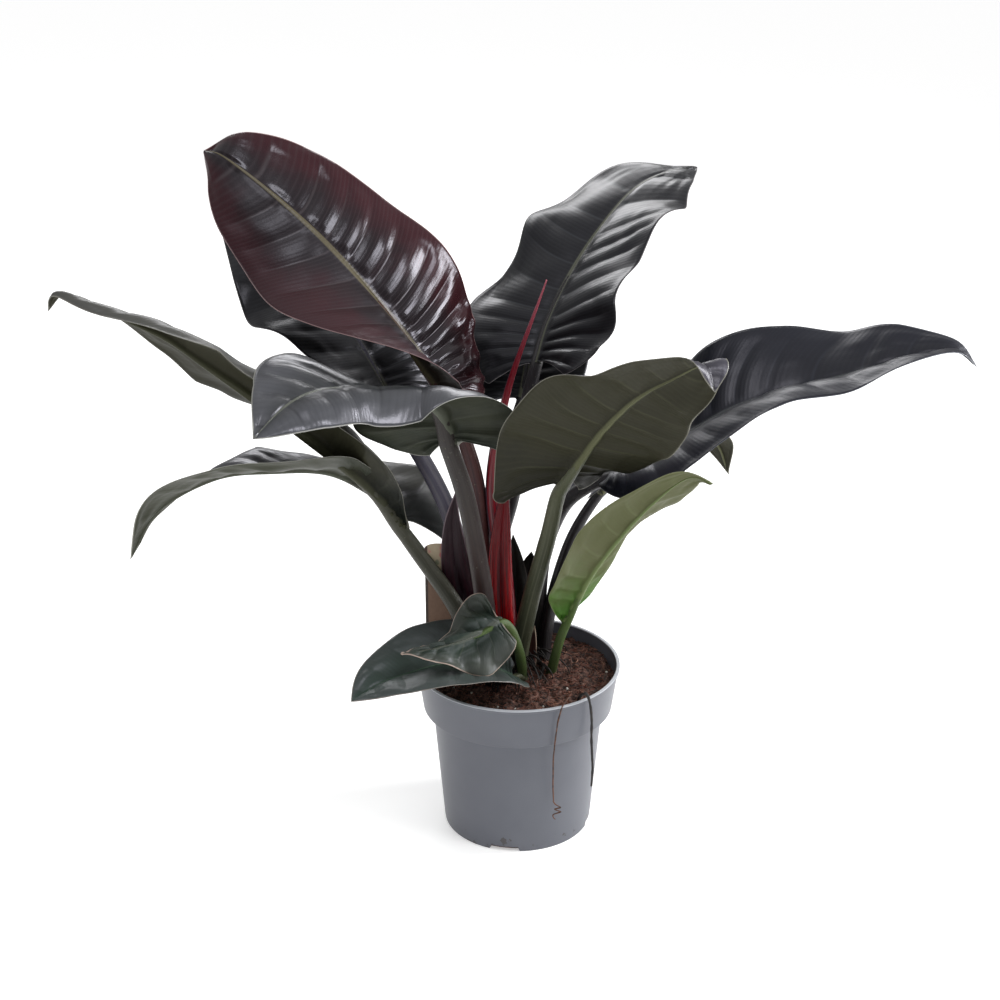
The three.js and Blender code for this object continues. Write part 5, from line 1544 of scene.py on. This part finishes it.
def fibre_arrays(count, random, edge):
    """Bent three-sided strands at random places and turns. With t from -1/2 to 1/2, a strand
    runs length t along a heading that turns by 2 bend t, its ends rise by pitch t and by the
    bend, and it thins as 1 - 0.7 |2t|^3."""
    spot = edge * np.sqrt(random.uniform(0, 1, count))
    around, turn = random.uniform(0, 2 * np.pi, (2, count))
    length = random.uniform(*FIBRE_LENGTH, count) * random.uniform(0.5, 1, count)
    thick = random.uniform(*FIBRE_THICK, count)
    bend, pitch = random.normal(0, FIBRE_BEND, count), random.normal(*FIBRE_PITCH, count)
    t = np.linspace(-0.5, 0.5, FIBRE_STEPS + 1)
    heading = turn[:, None] + bend[:, None] * t * 2
    x = spot[:, None] * np.cos(around)[:, None] + length[:, None] * t * np.cos(heading)
    y = spot[:, None] * np.sin(around)[:, None] + length[:, None] * t * np.sin(heading)
    away = np.hypot(x, y)
    inside = np.minimum(1, (edge + FIBRE_OVERHANG) / np.maximum(away, 1))
    x, y = x * inside, y * inside
    level = soil_height(x, y).mean(axis=1, keepdims=True)
    ends = pitch[:, None] * t + 0.12 * np.abs(t) * bend[:, None]
    z = level + FIBRE_LIFT + length[:, None] * ends
    line = np.stack([x, y, np.maximum(z, soil_height(x, y) - FIBRE_SINK)], -1)
    taper = thick[:, None] * (1 - 0.7 * (2 * np.abs(t)) ** 3)
    corner = np.arange(3) * 2 * np.pi / 3
    side = np.stack([-np.sin(heading), np.cos(heading), 0 * heading], -1)
    lift = np.array([0, 0, 1.0])
    ring = side[:, :, None] * np.cos(corner)[:, None] + lift * np.sin(corner)[:, None]
    points = line[:, :, None] + ring * taper[..., None, None]
    block = (FIBRE_STEPS + 1) * 3
    tube = np.array(grid_faces(FIBRE_STEPS + 1, 3, closed=True))
    offset = np.arange(count)[:, None, None] * block
    faces = (tube + offset).reshape(-1, 4).tolist()
    caps = np.array([[2, 1, 0], [block - 3, block - 2, block - 1]])
    faces += (caps + offset).reshape(-1, 3).tolist()
    return points.reshape(-1, 3), faces, np.repeat(random.uniform(0, 1, count), block)


random = np.random.default_rng(LOOSE_SEED)
points, faces, shade = fibre_arrays(FIBRES, random, FIBRE_EDGE)
make_piece("coir_fibres", points, faces, [fibre_finish()], {"shade": shade})
print("fibres", FIBRES, "faces", len(faces))


# %% [markdown]
# A few white grains lie among the fibres, of the kind that potting mixes hold. Each is a
# lump of very few faces.

# %% White grains
GRAINS, GRAIN_EDGE, GRAIN_SIZE = 16, 108, (0.7, 1.6)
GRAIN_SIDES, GRAIN_RINGS = 8, 5


def grain_arrays(count, random, edge):
    """Lumps of eight by five points: at a rise from -1 to 1 times its size, the radius is
    size sqrt(1 - rise^2), and each ring's is a little off."""
    lumps = []
    for _ in range(count):
        spot, turn = edge * np.sqrt(random.uniform(0, 1)), random.uniform(0, 2 * np.pi)
        x, y = spot * np.cos(turn), spot * np.sin(turn)
        size = random.uniform(*GRAIN_SIZE)
        rise = np.linspace(-0.95, 0.95, GRAIN_RINGS)
        middle = [x, y, float(soil_height(np.array(x), np.array(y))) + 0.8]
        line = np.array(middle) + np.outer(rise * size, [0, 0, 1])
        radius = size * np.sqrt(1 - rise**2) * random.uniform(0.8, 1.2, GRAIN_RINGS)
        lumps.append((*tube_arrays(line, radius, GRAIN_SIDES), tube_uv(GRAIN_RINGS, GRAIN_SIDES)))
    return join_tubes(lumps)


white = Finish("white_grain")
chalk = white.mix(white.noise(white.place(), 900, 2), srgb(236, 232, 224), srgb(206, 200, 190))
points, faces, uv = grain_arrays(GRAINS, random, GRAIN_EDGE)
make_piece("white_grains", points, faces, [white.done(chalk, 0.9)], uv=uv)
print("grains", GRAINS)

# %% [markdown]
# The label is a thin printed card on a pointed stake. Its print is soft blocks of colour,
# which say nothing and belong to nobody.

# %% Label
LABEL_FOOT = (-94, 34, 165)
LABEL_HALF_WIDTH, LABEL_STAKE, LABEL_THICK = 15, 7, 0.8
LABEL_SHOULDER, LABEL_TOP, LABEL_ARCH = 192, 342, 6
SHOULDER_RISE, POINT_RISE = 8, 14
PRINT_FROM, BORDER_WIDTH = 0.303, 0.003


def label_arrays():
    """An outline of (x, z) points, twice, a thickness apart. Its top is half an ellipse,
    (half width cos(arch), LABEL_ARCH sin(arch))."""
    arch = np.linspace(0, np.pi, 25)
    x = LABEL_HALF_WIDTH * np.cos(arch)
    z = LABEL_TOP - LABEL_ARCH + LABEL_ARCH * np.sin(arch)
    left = [(-LABEL_HALF_WIDTH, LABEL_SHOULDER + SHOULDER_RISE), (-LABEL_STAKE, LABEL_SHOULDER),
            (-LABEL_STAKE, LABEL_FOOT[2] + POINT_RISE), (0, LABEL_FOOT[2])]
    right = [(-px, pz) for px, pz in left[-2::-1]]
    outline_points = np.array([*zip(x, z), *left, *right])
    count = len(outline_points)
    front = np.column_stack([outline_points[:, 0], np.zeros(count), outline_points[:, 1]])
    front[:, 0] += LABEL_FOOT[0]
    front[:, 1] += LABEL_FOOT[1]
    back = front + (0, LABEL_THICK, 0)
    ring = np.arange(count)
    ahead = np.roll(ring, -1)
    faces = [ring.tolist(), (ring + count)[::-1].tolist()]
    faces += np.stack([ring + count, ahead + count, ahead, ring], -1).tolist()
    return np.vstack([front, back]), faces


def label_finish():
    """Kraft card below a cream field, with a dark border and soft blocks of pink and grey."""
    finish = Finish("printed_card")
    across, _, height = finish.split(finish.place())
    fibre = finish.noise(finish.place(), 260, 3)
    kraft = finish.mix(fibre, srgb(150, 116, 92), srgb(128, 96, 76))
    cream = finish.mix(fibre, srgb(196, 180, 150), srgb(176, 158, 132))
    blocks = finish.noise(finish.place(), 60, 1)
    cream = finish.mix(finish.range(blocks, 0.56, 0.6, 0, 0.8), cream, srgb(196, 96, 104))
    cream = finish.mix(finish.range(blocks, 0.42, 0.38, 0, 0.8), cream, srgb(104, 112, 92))
    colour = finish.mix(finish.range(height, PRINT_FROM, PRINT_FROM + 0.003), kraft, cream)
    inner = (LABEL_FOOT[0] - LABEL_HALF_WIDTH) * MM + BORDER_WIDTH
    border = finish.range(across, inner, inner + 0.0005, 0.9, 0)
    colour = finish.mix(border, colour, srgb(58, 42, 34))
    return finish.done(colour, 0.55)


points, faces = label_arrays()
label = make_piece("care_label", points, faces, [label_finish()], nodes=["plant_label"])
label.data.polygons.foreach_set("use_smooth", np.zeros(len(label.data.polygons), bool))
print("label faces", len(faces))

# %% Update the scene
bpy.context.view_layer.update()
